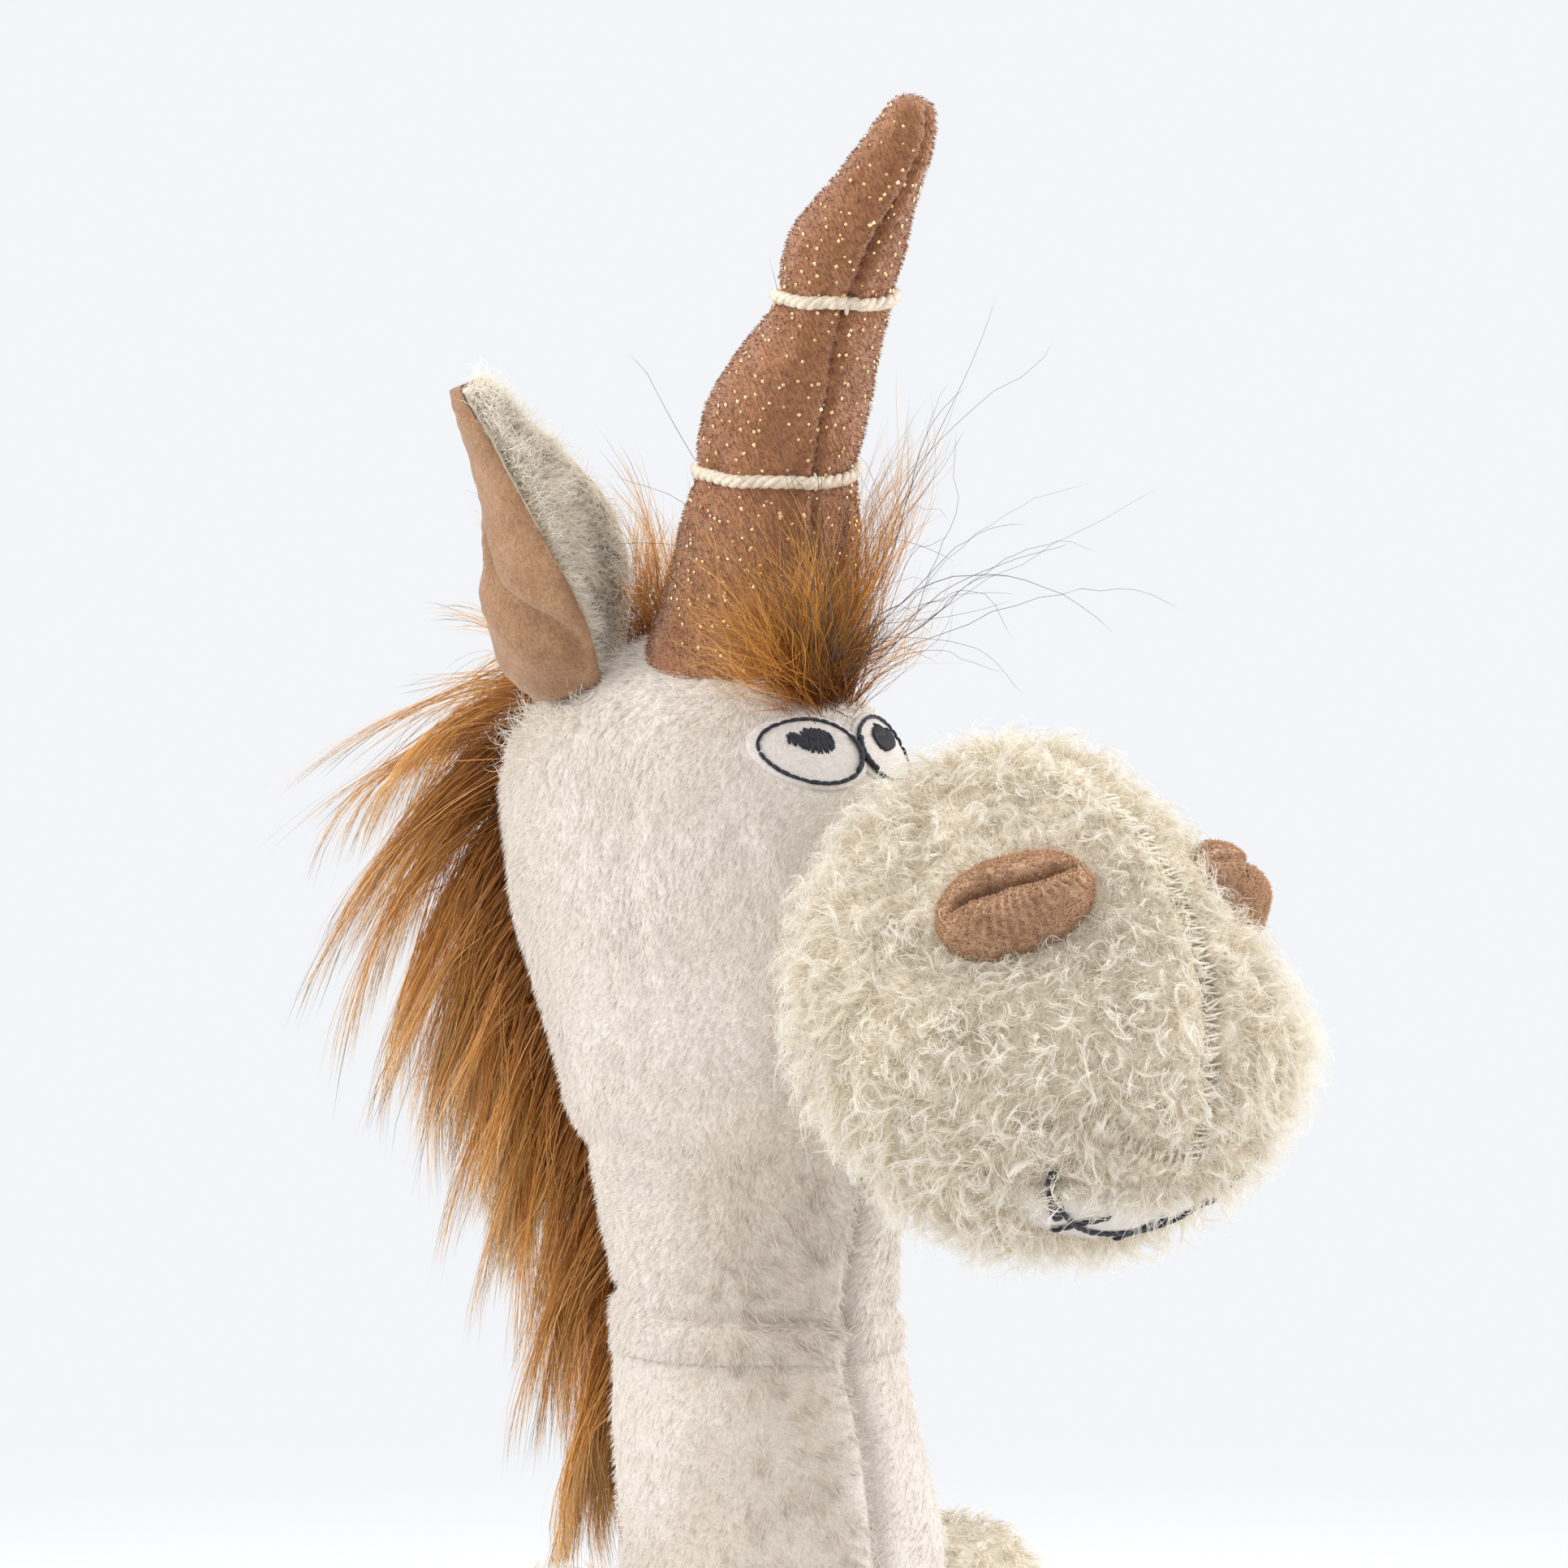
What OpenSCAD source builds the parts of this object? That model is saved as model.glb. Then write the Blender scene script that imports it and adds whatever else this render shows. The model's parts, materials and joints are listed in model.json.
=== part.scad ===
// Seated plush unicorn: sewn fabric skins over stuffing, with faux-fur hair and a wound horn.
// It faces -Y, its left side is +X, and it sits on the plane z = 0. Sizes are in millimetres.

/* [Torso] */
// Width of the torso at the hips
hip_w = 110; // [104:1:114]
// Depth of the torso at the hips
hip_d = 104; // [98:1:106]
// Height of the widest part of the hips
hip_z = 40; // [38:1:42]
// Width of the chest under the neck
chest_w = 72; // [68:1:76]
// Radius of the flat panel that it sits on
seat_r = 32; // [26:1:33]

/* [Neck] */
// Height of the joint between torso and neck
neck_base_z = 150; // [148:1:152]
// Width of the neck at its base
neck_base_w = 64; // [60:1:66]
// Radius of the neck under the head
neck_top_r = 28; // [26:0.5:28.5]
// Height of the joint between neck and head
neck_top_z = 225; // [224:1:227]

/* [Head] */
// Length of the skull, front to back
skull_l = 104; // [100:1:106]
// Width of the skull
skull_w = 62; // [58:1:64]
// Height of the skull's centre
skull_z = 297; // [295:1:299]
// Radius of the muzzle ball
muzzle_r = 44.5; // [42:0.5:46]
// Distance of the muzzle's centre in front of the neck
muzzle_reach = 84; // [82:1:87]
// How far down from the front of the muzzle the mouth is, in degrees
mouth_down = 58; // [54:1:62]

/* [Eyes] */
// Distance of each eye's centre from the middle of the face
eye_x = 8.9; // [8.8:0.1:9.6]
// Height of the eyes
eye_z = 309; // [307:1:311]
// Width of an eye's felt patch
eye_w = 17.2; // [16:0.2:17.4]
// Height of an eye's felt patch
eye_h = 12.2; // [11:0.2:13.4]

/* [Horn] */
// Length of the horn above the head
horn_l = 114; // [105:1:120]
// Radius of the horn at its base
horn_base_r = 19; // [17:0.5:20]
// Forward lean of the horn in degrees
horn_lean = 25; // [20:1:28]
// Radius of the cord that is wound round the horn
cord_r = 1.15; // [0.9:0.05:1.4]

/* [Ears] */
// Length of an ear
ear_l = 60; // [52:1:64]
// Width of an ear
ear_w = 30; // [26:1:34]
// Outward lean of an ear in degrees
ear_lean = 26; // [22:1:30]

/* [Limbs] */
// Length of an arm from the shoulder joint to the end of the hoof
arm_l = 104; // [96:1:110]
// Radius of the arm at the shoulder
arm_r = 14; // [12:0.5:14.5]
// Length of an arm's hoof
arm_hoof_l = 24; // [22:1:28]
// Angle of the arms away from the sides in degrees
arm_spread = 38; // [34:1:44]
// Length of a leg from the hip joint to the end of the hoof
leg_l = 122; // [112:1:128]
// Radius of the leg at the hip
leg_r = 18; // [16:0.5:18]
// Length of a leg's hoof
leg_hoof_l = 30; // [26:1:34]
// Outward turn of the legs in degrees
leg_splay = 15; // [12:1:20]

/* [Hair] */
// How far the mane stands out behind the head and neck
mane_t = 22; // [16:1:24]
// Width of the strip that the mane grows from
mane_w = 26; // [20:1:30]
// Length of the tail
tail_l = 52; // [44:1:54]

/* [Fabric] */
// Thickness of the plush skins, backing and pile together
skin = 2; // [1.5:0.1:2.5]
// Thickness of felt patches and of embroidery
felt = 0.8; // [0.6:0.1:1]

/* [Hidden] */

// Seam between a skin and the stuffing in it
seam = 0.15;
// Running gap between two pieces that move on each other
gap = 0.5;
// Size of the blocks that cut pieces off
big = 400;

plush_cream = "#e6ded5";
curly_cream = "#d9d5c4";
tan = "#b58b6c";
horn_brown = "#a4694b";
fur_brown = "#9a5a25";
cord_cream = "#e9ddca";
felt_white = "#ecebee";
thread_black = "#1d1f2b";
fill_white = "#f2f2ee";

// Neck joint and nod joint, each the centre of a ball that turns in a socket
neck_base = [0, -4, neck_base_z];
neck_top = [0, 0, neck_top_z];
base_ball_r = 22;
top_ball_r = 24;
// Open edges of the skins: each stops short of the ball that it faces
torso_rim_z = neck_base_z - 10;
neck_rim_z = neck_base_z + 11;
neck_edge_z = neck_top_z - 13;
head_rim_z = neck_top_z + 9;

muzzle = [0, -muzzle_reach, 267];
// How far behind its centre the muzzle is cut flat
muzzle_back = muzzle_reach - 44.2;
smile_r = 26;
smile_half = 34;
stitch_w = 1.2;

horn_root = [0, 1, 329];
horn_depth = 7;
horn_skin_t = 1.6;
lower_cord_t = 35;
upper_cord_t = 72;

shoulder = [53, 0, 140];
arm_end_r = 12;
arm_hoof_r = 14;
hip = [37, -59, 20];
leg_end_r = 16;
leg_hoof_r = 20;
ear_root = [20, 28.5, 325];
ear_back_lean = 5;
ear_turn = -35;
ear_t = 2;
tail_root = [0, 60, 62];

// ---- Shared shapes ----

module blob(centre, radii) {
    translate(centre) scale(radii) sphere(r = 1, $fn = 32);
}

module ball(centre, r) {
    translate(centre) sphere(r = r, $fn = 64);
}

// Everything above a level
module above(z) {
    translate([-big / 2, -big / 2, z]) cube(big);
}

// Everything below a level
module below(z) {
    translate([-big / 2, -big / 2, z - big]) cube(big);
}

function grown(radii, g) = [for (r = radii) r + g];

module torso_form(g) {
    difference() {
        hull() {
            blob([0, 0, hip_z], grown([hip_w / 2, hip_d / 2, 52], g));
            blob([0, -3, 126], grown([chest_w / 2, 30, 24], g));
        }
        below(0);
    }
}

module neck_form(g) {
    hull() {
        blob([0, -5, 172], grown([neck_base_w / 2, 30, 20], g));
        blob([0, 0, 199], grown([neck_top_r, neck_top_r, 26], g));
    }
}

module head_form(g) {
    hull() {
        blob([0, 15, skull_z], grown([skull_w / 2, skull_l / 2, 34], g));
        blob([0, 1, 236], grown([28.5, 34, 18], g));
        blob([0, -30, 264], grown([25, 14, 28], g));
    }
}

// A capsule along -Z from a ball at the origin: its radius goes from r0 to r1 over its length
function limb_outline(r0, r1, length) = concat(
    [for (a = [90 : -10 : 0]) [r0 * cos(a), r0 * sin(a)]],
    [[r1, -length], [0, -length]]
);

module limb(r0, r1, length) {
    rotate_extrude($fn = 64) polygon(limb_outline(r0, r1, length));
}

module limb_skin(r0, r1, length) {
    difference() {
        limb(r0, r1, length);
        limb(r0 - skin, r1 - skin, length + 1);
    }
}

// A stuffed hoof: a short drum with a rounded end
module hoof(r, length) {
    rotate_extrude($fn = 64) polygon(concat(
        [[0, 0], [r * 0.86, 0]],
        [for (a = [60 : -20 : 0]) [r - 4 + 4 * cos(a), -4 + 4 * sin(a)]],
        [for (a = [0 : 15 : 90]) [r - 9 + 9 * cos(a), 9 - length - 9 * sin(a)]],
        [[0, -length]]
    ));
}

// ---- Torso ----

module torso_skin() {
    color(plush_cream) difference() {
        torso_form(0);
        torso_form(-skin);
        translate([0, 0, -1]) cylinder(r = seat_r, h = 12, $fn = 96);
        above(torso_rim_z);
    }
}

module pellet_form(g) {
    translate([0, 0, 3]) rotate_extrude($fn = 64) polygon(concat(
        [[0, 0], [24 + g, 0]],
        [for (a = [-60 : 20 : 90]) [22 + (8 + g) * cos(a), 11 + (11 + g) * sin(a)]],
        [[0, 22 + g]]
    ));
}

module torso_stuffing() {
    color(fill_white) difference() {
        union() {
            torso_form(-skin - seam);
            ball(neck_base, base_ball_r);
        }
        below(3);
        pellet_form(seam);
    }
}

module seat_panel() {
    color(plush_cream) cylinder(r = seat_r - seam, h = 2.8, $fn = 96);
}

module pellet_bag() {
    color(felt_white) pellet_form(0);
}

// Sewn into the torso's seam at the back on the toy's left, and standing straight out
module care_label() {
    color("white") difference() {
        rotate([0, 0, 35]) translate([40, -0.3, 12]) cube([28, 0.6, 20]);
        torso_form(0.1);
    }
}

module tail() {
    color(fur_brown) hull() {
        translate(tail_root) sphere(r = 4.5, $fn = 24);
        translate(tail_root + [0, 4, -tail_l * 0.55]) scale([11, 7, 12]) sphere(r = 1, $fn = 24);
        translate(tail_root + [0, 1, 6 - tail_l]) sphere(r = 3, $fn = 24);
    }
}

// ---- Neck ----

module neck_skin() {
    color(plush_cream) difference() {
        neck_form(0);
        neck_form(-skin);
        below(neck_rim_z);
        above(neck_edge_z);
    }
}

module neck_stuffing() {
    color(fill_white) difference() {
        union() {
            neck_form(-skin - seam);
            ball(neck_top, top_ball_r);
        }
        ball(neck_base, base_ball_r + gap);
        below(neck_rim_z);
    }
}

module neck_mane() {
    color(fur_brown) intersection() {
        difference() {
            neck_form(mane_t);
            neck_form(0.2);
        }
        translate([-mane_w / 2, 6, neck_rim_z + 4]) cube([mane_w, 100, 48]);
    }
}

// ---- Head ----

module horn_place() {
    translate(horn_root) rotate([horn_lean, 0, 0]) children();
}

// Radius of the horn at height t: a taper, narrower where each cord is drawn tight
function horn_r(t) =
    horn_base_r - (horn_base_r - 4.6) * pow(max(t, 0) / horn_l, 1.25)
    + 1.1 * sin(180 * max(t, 0) / horn_l)
    - 1.6 * exp(-pow((t - lower_cord_t) / 5, 2))
    - 1.8 * exp(-pow((t - upper_cord_t) / 5, 2));

function horn_outline(inset, bottom) = concat(
    [[0, bottom]],
    [for (t = [bottom : 3 : horn_l - 6]) [horn_r(t) - inset, t]],
    [for (a = [20 : 35 : 90]) let (r = horn_r(horn_l - 5) - inset) [r * cos(a), horn_l - 5 + r * sin(a)]]
);

module horn_form(inset, bottom) {
    rotate_extrude($fn = 64) polygon(horn_outline(inset, bottom));
}

module horn_pocket() {
    horn_place() translate([0, 0, -horn_depth]) cylinder(r = horn_base_r + seam, h = 40, $fn = 64);
}

module head_skin() {
    color(plush_cream) difference() {
        head_form(0);
        head_form(-skin);
        ball(neck_top, top_ball_r + gap);
        below(head_rim_z);
        horn_pocket();
    }
}

module head_stuffing() {
    color(fill_white) difference() {
        head_form(-skin - seam);
        ball(neck_top, top_ball_r + gap);
        below(head_rim_z);
        horn_pocket();
    }
}

module horn_skin() {
    color(horn_brown) horn_place() difference() {
        horn_form(0, -horn_depth);
        horn_form(horn_skin_t, -horn_depth - 3);
    }
}

module horn_stuffing() {
    color(fill_white) horn_place() horn_form(horn_skin_t + seam, -horn_depth);
}

// One turn of cord round the horn, tilted towards the right ear
module horn_cord(t) {
    color(cord_cream) horn_place() translate([0, 0, t]) rotate([-13, -9, 0])
        rotate_extrude($fn = 64) translate([horn_r(t) + cord_r * 0.7, 0]) circle(r = cord_r, $fn = 24);
}

module head_mane() {
    color(fur_brown) intersection() {
        difference() {
            head_form(mane_t);
            head_form(0.2);
        }
        translate([-mane_w / 2, 40, head_rim_z + 8]) cube([mane_w, 100, 84]);
    }
}

module poll_tuft() {
    color(fur_brown) difference() {
        hull() {
            translate([0, 31, 330]) sphere(r = 6, $fn = 24);
            translate([0, 37, 362]) sphere(r = 3, $fn = 24);
        }
        head_form(0.2);
    }
}

module forelock() {
    color(fur_brown) difference() {
        hull() {
            translate([0, -20, 322]) sphere(r = 4, $fn = 24);
            blob([0, -38, 342], [20, 6, 13]);
        }
        head_form(0.2);
    }
}

// ---- Muzzle ----

// A ball of radius r whose back is cut flat where it is sewn to the head, or left open further back
module muzzle_form(r, back) {
    start = -asin(back / r);
    translate(muzzle) rotate([90, 0, 0]) rotate_extrude($fn = 96) polygon(concat(
        [[0, -back]],
        [for (i = [0 : 30]) let (a = start + (90 - start) * i / 30) [r * cos(a), r * sin(a)]]
    ));
}

module muzzle_skin() {
    color(curly_cream) difference() {
        muzzle_form(muzzle_r, muzzle_back);
        muzzle_form(muzzle_r - skin, muzzle_back + 1);
    }
}

module muzzle_stuffing() {
    color(fill_white) muzzle_form(muzzle_r - skin - seam, muzzle_back);
}

// A layer of the muzzle ball from r0 to r1, cut out by children that stand up from its centre
// and are then turned down from the front by an angle
module muzzle_layer(r0, r1, down) {
    intersection() {
        difference() {
            ball(muzzle, r1);
            ball(muzzle, r0);
        }
        translate(muzzle) rotate([90 + down, 0, 0]) children();
    }
}

function oval(w, h, n) = [for (i = [0 : n - 1]) [w / 2 * cos(360 * i / n), h / 2 * sin(360 * i / n)]];

// A flat arc, from -half to half degrees, that curves up at both ends
function smile_edge(r, from, to) =
    [for (i = [0 : 10]) let (a = from + (to - from) * i / 10) [r * sin(a), 22 - r * cos(a)]];

module mouth_patch() {
    color(felt_white) muzzle_layer(muzzle_r + 0.05, muzzle_r + felt, mouth_down)
        linear_extrude(80) polygon(oval(40, 15, 32));
}

// The smile and two short stitches across it
module mouth_stitching() {
    color(thread_black) muzzle_layer(muzzle_r + felt + 0.05, muzzle_r + 2 * felt, mouth_down) union() {
        linear_extrude(80) polygon(concat(
            smile_edge(smile_r, -smile_half, smile_half),
            smile_edge(smile_r + stitch_w, smile_half, -smile_half)
        ));
        for (s = [-1, 1]) translate([s * 6, -4, 40]) rotate(s * 25)
            cube([stitch_w, 7, 80], center = true);
    }
}

// side is 1 for the toy's left and -1 for its right
module nostril(side) {
    color(tan) difference() {
        translate(muzzle) rotate([90 - 25, 0, side * 53]) translate([0, 0, muzzle_r])
            rotate(side * -22) hull() scale([14.5, 9, 6.5]) sphere(r = 1, $fn = 24);
        ball(muzzle, muzzle_r + 0.1);
    }
}

// ---- Eyes ----

// A layer on the front of the head, from g0 to g1 above its surface, that an outline cuts out
module face_layer(g0, g1, side) {
    intersection() {
        difference() {
            head_form(g1);
            head_form(g0);
        }
        translate([side * eye_x, 0, eye_z]) rotate([90, 0, 0]) linear_extrude(80) children();
    }
}

module eye_patch(side) {
    color(felt_white) face_layer(0.05, felt, side) polygon(oval(eye_w, eye_h, 24));
}

module eye_outline(side) {
    color(thread_black) face_layer(felt + 0.05, 2 * felt, side) difference() {
        polygon(oval(eye_w - 0.6, eye_h - 0.6, 24));
        polygon(oval(eye_w - 2.6, eye_h - 2.6, 24));
    }
}

module pupil(side) {
    color(thread_black) face_layer(felt + 0.05, 2 * felt, side)
        translate([side * -0.8, 1.8]) polygon(oval(8, 5, 16));
}

// ---- Ears ----

module ear_place(side) {
    mirror([side < 0 ? 1 : 0, 0, 0]) translate(ear_root)
        rotate([-ear_back_lean, ear_lean, 0]) rotate([0, 0, ear_turn]) children();
}

// A leaf that is narrow at its base, widest a third of the way up and pointed at its tip
function ear_half_w(f) = ear_w / 2 * (0.42 + 0.58 * sin(min(f / 0.38, 1) * 90)) * pow(1 - pow(f, 2.2), 0.75);

function ear_outline(inset) = let (top = 0.985) concat(
    [for (i = [0 : 12]) let (f = top * i / 12) [max(ear_half_w(f) - inset, 1), f * (ear_l - inset)]],
    [for (i = [12 : -1 : 0]) let (f = top * i / 12) [-max(ear_half_w(f) - inset, 1), f * (ear_l - inset)]]
);

module ear_back(side) {
    color(tan) ear_place(side) union() {
        translate([0, ear_t, 0]) rotate([90, 0, 0]) linear_extrude(ear_t) polygon(ear_outline(0));
        translate([-ear_w * 0.2, 0, 0]) rotate([0, 90, 0]) cylinder(r = 2, h = ear_w * 0.4, $fn = 32);
    }
}

module ear_lining(side) {
    color(curly_cream) ear_place(side) translate([0, -seam, 3]) rotate([90, 0, 0])
        linear_extrude(3) polygon(ear_outline(2.5));
}

// ---- Arms ----

module arm_place(side) {
    mirror([side < 0 ? 1 : 0, 0, 0]) translate(shoulder) rotate([0, -arm_spread, 0]) children();
}

module arm_skin(side) {
    color(curly_cream) arm_place(side) limb_skin(arm_r, arm_end_r, arm_l - arm_hoof_l);
}

module arm_stuffing(side) {
    color(fill_white) arm_place(side)
        limb(arm_r - skin - seam, arm_end_r - skin - seam, arm_l - arm_hoof_l);
}

module arm_hoof(side) {
    color(tan) arm_place(side) translate([0, 0, arm_hoof_l - arm_l]) hoof(arm_hoof_r, arm_hoof_l);
}

// ---- Legs ----

module leg_place(side) {
    mirror([side < 0 ? 1 : 0, 0, 0]) translate(hip) rotate([0, 0, leg_splay])
        rotate([-90, 0, 0]) children();
}

module leg_skin(side) {
    color(curly_cream) leg_place(side) limb_skin(leg_r, leg_end_r, leg_l - leg_hoof_l);
}

module leg_stuffing(side) {
    color(fill_white) leg_place(side)
        limb(leg_r - skin - seam, leg_end_r - skin - seam, leg_l - leg_hoof_l);
}

module leg_hoof(side) {
    color(tan) leg_place(side) translate([0, 0, leg_hoof_l - leg_l]) hoof(leg_hoof_r, leg_hoof_l);
}

torso_skin();
torso_stuffing();
seat_panel();
pellet_bag();
care_label();
tail();
neck_skin();
neck_stuffing();
neck_mane();
head_skin();
head_stuffing();
head_mane();
poll_tuft();
forelock();
muzzle_skin();
muzzle_stuffing();
mouth_patch();
mouth_stitching();
nostril(1);  // left_nostril
nostril(-1);  // right_nostril
eye_patch(1);  // left_eye_patch
eye_patch(-1);  // right_eye_patch
eye_outline(1);  // left_eye_outline
eye_outline(-1);  // right_eye_outline
pupil(1);  // left_pupil
pupil(-1);  // right_pupil
horn_skin();
horn_stuffing();
horn_cord(lower_cord_t);  // lower_horn_cord
horn_cord(upper_cord_t);  // upper_horn_cord
ear_back(1);  // left_ear_back
ear_lining(1);  // left_ear_lining
ear_back(-1);  // right_ear_back
ear_lining(-1);  // right_ear_lining
arm_skin(1);  // left_arm_skin
arm_stuffing(1);  // left_arm_stuffing
arm_hoof(1);  // left_arm_hoof
arm_skin(-1);  // right_arm_skin
arm_stuffing(-1);  // right_arm_stuffing
arm_hoof(-1);  // right_arm_hoof
leg_skin(1);  // left_leg_skin
leg_stuffing(1);  // left_leg_stuffing
leg_hoof(1);  // left_leg_hoof
leg_skin(-1);  // right_leg_skin
leg_stuffing(-1);  // right_leg_stuffing
leg_hoof(-1);  // right_leg_hoof
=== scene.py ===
"""Plush unicorn: sewn skins, pile, hair, embroidery and a wound horn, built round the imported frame.

Lengths in this file are in millimetres unless a name ends in _m. A piece is scaled to metres
when its mesh is made. The toy faces -Y and its left side is +X.
"""
import json
import math

import bpy
import numpy as np
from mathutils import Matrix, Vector
from mathutils.bvhtree import BVHTree


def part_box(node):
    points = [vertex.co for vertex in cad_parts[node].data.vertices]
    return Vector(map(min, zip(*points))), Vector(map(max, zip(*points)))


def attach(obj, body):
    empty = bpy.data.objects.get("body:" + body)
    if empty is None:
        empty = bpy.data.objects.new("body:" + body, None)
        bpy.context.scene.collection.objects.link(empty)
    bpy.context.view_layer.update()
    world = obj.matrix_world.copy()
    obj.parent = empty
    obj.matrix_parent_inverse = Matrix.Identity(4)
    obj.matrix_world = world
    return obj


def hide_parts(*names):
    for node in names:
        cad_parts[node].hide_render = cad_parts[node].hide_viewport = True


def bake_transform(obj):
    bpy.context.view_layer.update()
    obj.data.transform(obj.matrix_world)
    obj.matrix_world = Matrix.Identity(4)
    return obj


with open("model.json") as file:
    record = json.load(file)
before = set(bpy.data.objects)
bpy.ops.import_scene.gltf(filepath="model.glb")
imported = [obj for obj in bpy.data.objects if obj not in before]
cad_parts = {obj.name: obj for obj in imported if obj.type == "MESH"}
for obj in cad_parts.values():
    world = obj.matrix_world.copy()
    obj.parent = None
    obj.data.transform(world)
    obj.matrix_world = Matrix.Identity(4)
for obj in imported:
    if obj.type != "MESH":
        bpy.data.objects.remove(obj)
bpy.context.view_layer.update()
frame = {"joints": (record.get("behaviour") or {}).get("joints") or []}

MM = 0.001
LEFTWARD, BACKWARD, UP = np.eye(3)
# At most this many triangles go into one piece of strands; more strands make more
# pieces. The export keeps a piece whole up to this many triangles
PIECE_TRIANGLES = 195_000
# How far the roots of short pile lie under their cloth
PILE_SINK = 0.2


# ---- Where things are, from the frame ----

def joint_place(name):
    """The point that a joint turns about, in millimetres."""
    joint = next(j for j in frame["joints"] if j["name"] == name)
    return np.array(joint["pos_m"]) / MM


def node_box(name):
    """Lowest and highest corner of a CAD node, in millimetres."""
    low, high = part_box(name)
    return np.array(low) / MM, np.array(high) / MM


NECK_BASE = joint_place("neck_lean")
NECK_TOP = joint_place("head_nod")
TAIL_ROOT = joint_place("tail_swing")
# For a piece that crosses a joint: the body on each side and a place on each side of the joint
BENDS = {
    "torso_to_neck": ("torso", "neck", NECK_BASE - 22 * UP, NECK_BASE + 24 * UP),
    "neck_to_head": ("neck", "head", NECK_TOP - 20 * UP, NECK_TOP + 22 * UP),
    "torso_to_tail": ("torso", "tail", TAIL_ROOT - [0, 11, 0], TAIL_ROOT + [0, 4, -2]),
}

muzzle_low, muzzle_high = node_box("muzzle_skin")
MUZZLE_R = (muzzle_high[2] - muzzle_low[2]) / 2
MUZZLE = np.array([0, muzzle_low[1] + MUZZLE_R, (muzzle_high[2] + muzzle_low[2]) / 2])
HORN_LEAN = 25
HORN_ROOT = np.array([0.0, 1.0, 329.0])
SIDE_NAMES = {1: "left", -1: "right"}


# ---- Small helpers ----

def unit(v):
    return v / np.maximum(np.linalg.norm(v, axis=-1, keepdims=True), 1e-9)


def square_to(direction, axis):
    """The part of each direction that is square to its axis."""
    return direction - axis * (direction * axis).sum(-1, keepdims=True)


def circle(count):
    """That many angles round a circle, in radians."""
    return np.linspace(0, 2 * np.pi, count, endpoint=False)


def ring_round(centre, heading, side, radius, count):
    """Points round a centre, square to a heading, the first of them towards side."""
    angle = circle(count)[:, None]
    return centre + radius * (np.cos(angle) * side + np.sin(angle) * np.cross(heading, side))


def apart(spots):
    """Splits a list of (place, normal) into all its places and all its normals."""
    return np.array([place for place, _ in spots]), np.array([normal for _, normal in spots])


def smooth(x, start, end):
    """0 before start, 1 after end, and an even curve between them."""
    t = np.clip((x - start) / (end - start), 0, 1)
    return t * t * (3 - 2 * t)


def between(x, start, full, fading, end):
    """1 from full to fading, and an even curve down to 0 at start and at end."""
    return smooth(x, start, full) * smooth(-x, -end, -fading)


def dip(x, width):
    """1 at x = 0, falling to nothing beyond about 2 widths."""
    return np.exp(-(x / width) ** 2)


def waves(points, size, seed):
    """Smooth noise, about -1 to 1, whose features are about that size."""
    rng = np.random.default_rng(seed)
    total = np.zeros(points.shape[:-1])
    for _ in range(7):
        heading = unit(rng.normal(size=3))
        pace = 2 * np.pi / size * rng.uniform(0.6, 1.5)
        total += np.sin(points @ heading * pace + rng.uniform(0, 2 * np.pi))
    return total / 4.5


def wavy_vectors(points, size, seed):
    """Three of those noises, as a vector at each point."""
    return np.stack([waves(points, size, seed + i) for i in range(3)], axis=-1)


def spline(knots, count):
    """count points along a smooth curve through the knots, which may have any number of columns."""
    knots = np.asarray(knots, float)
    reach = np.linalg.norm(np.diff(knots, axis=0), axis=1) ** 0.7
    t = np.concatenate([[0], np.cumsum(reach)])
    slopes = np.gradient(knots, t, axis=0)
    at = np.linspace(0, t[-1], count)
    i = np.clip(np.searchsorted(t, at, side="right") - 1, 0, len(t) - 2)
    h = (t[i + 1] - t[i])[:, None]
    f = (at - t[i])[:, None] / h
    return ((1 + 2 * f) * (1 - f) ** 2 * knots[i] + f * (1 - f) ** 2 * h * slopes[i]
            + f * f * (3 - 2 * f) * knots[i + 1] + f * f * (f - 1) * h * slopes[i + 1])


def turned(axis, degrees):
    """Rotation matrix about X, Y or Z (0, 1 or 2)."""
    c, s = math.cos(math.radians(degrees)), math.sin(math.radians(degrees))
    i, j = [(1, 2), (2, 0), (0, 1)][axis]
    m = np.eye(3)
    m[i, i], m[i, j], m[j, i], m[j, j] = c, -s, s, c
    return m


# ---- Meshes ----

def new_piece(name, points, quads=(), triangles=()):
    """A smooth-shaded mesh from points in millimetres."""
    quads = np.asarray(quads, np.int32).reshape(-1, 4)
    triangles = np.asarray(triangles, np.int32).reshape(-1, 3)
    corners = np.concatenate([quads.ravel(), triangles.ravel()])
    sizes = np.concatenate([np.full(len(quads), 4), np.full(len(triangles), 3)]).astype(np.int32)
    mesh = bpy.data.meshes.new(name)
    mesh.vertices.add(len(points))
    mesh.vertices.foreach_set("co", (np.asarray(points) * MM).astype(np.float32).ravel())
    mesh.loops.add(len(corners))
    mesh.loops.foreach_set("vertex_index", corners)
    mesh.polygons.add(len(sizes))
    mesh.polygons.foreach_set("loop_start", np.concatenate([[0], np.cumsum(sizes)[:-1]]).astype(np.int32))
    mesh.polygons.foreach_set("use_smooth", np.ones(len(sizes), bool))
    mesh.update(calc_edges=True)
    piece = bpy.data.objects.new(name, mesh)
    bpy.context.scene.collection.objects.link(piece)
    return piece


def mark(piece, name, values):
    """Stores one number for each point of a piece, for its material."""
    attribute = piece.data.attributes.new(name, "FLOAT", "POINT")
    attribute.data.foreach_set("value", np.asarray(values, np.float32).ravel())


def points_of(piece):
    co = np.empty(len(piece.data.vertices) * 3, np.float32)
    piece.data.vertices.foreach_get("co", co)
    return co.reshape(-1, 3).astype(float) / MM


def normals_of(piece):
    normals = np.empty(len(piece.data.vertices) * 3, np.float32)
    piece.data.vertices.foreach_get("normal", normals)
    return normals.reshape(-1, 3).astype(float)


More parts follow.
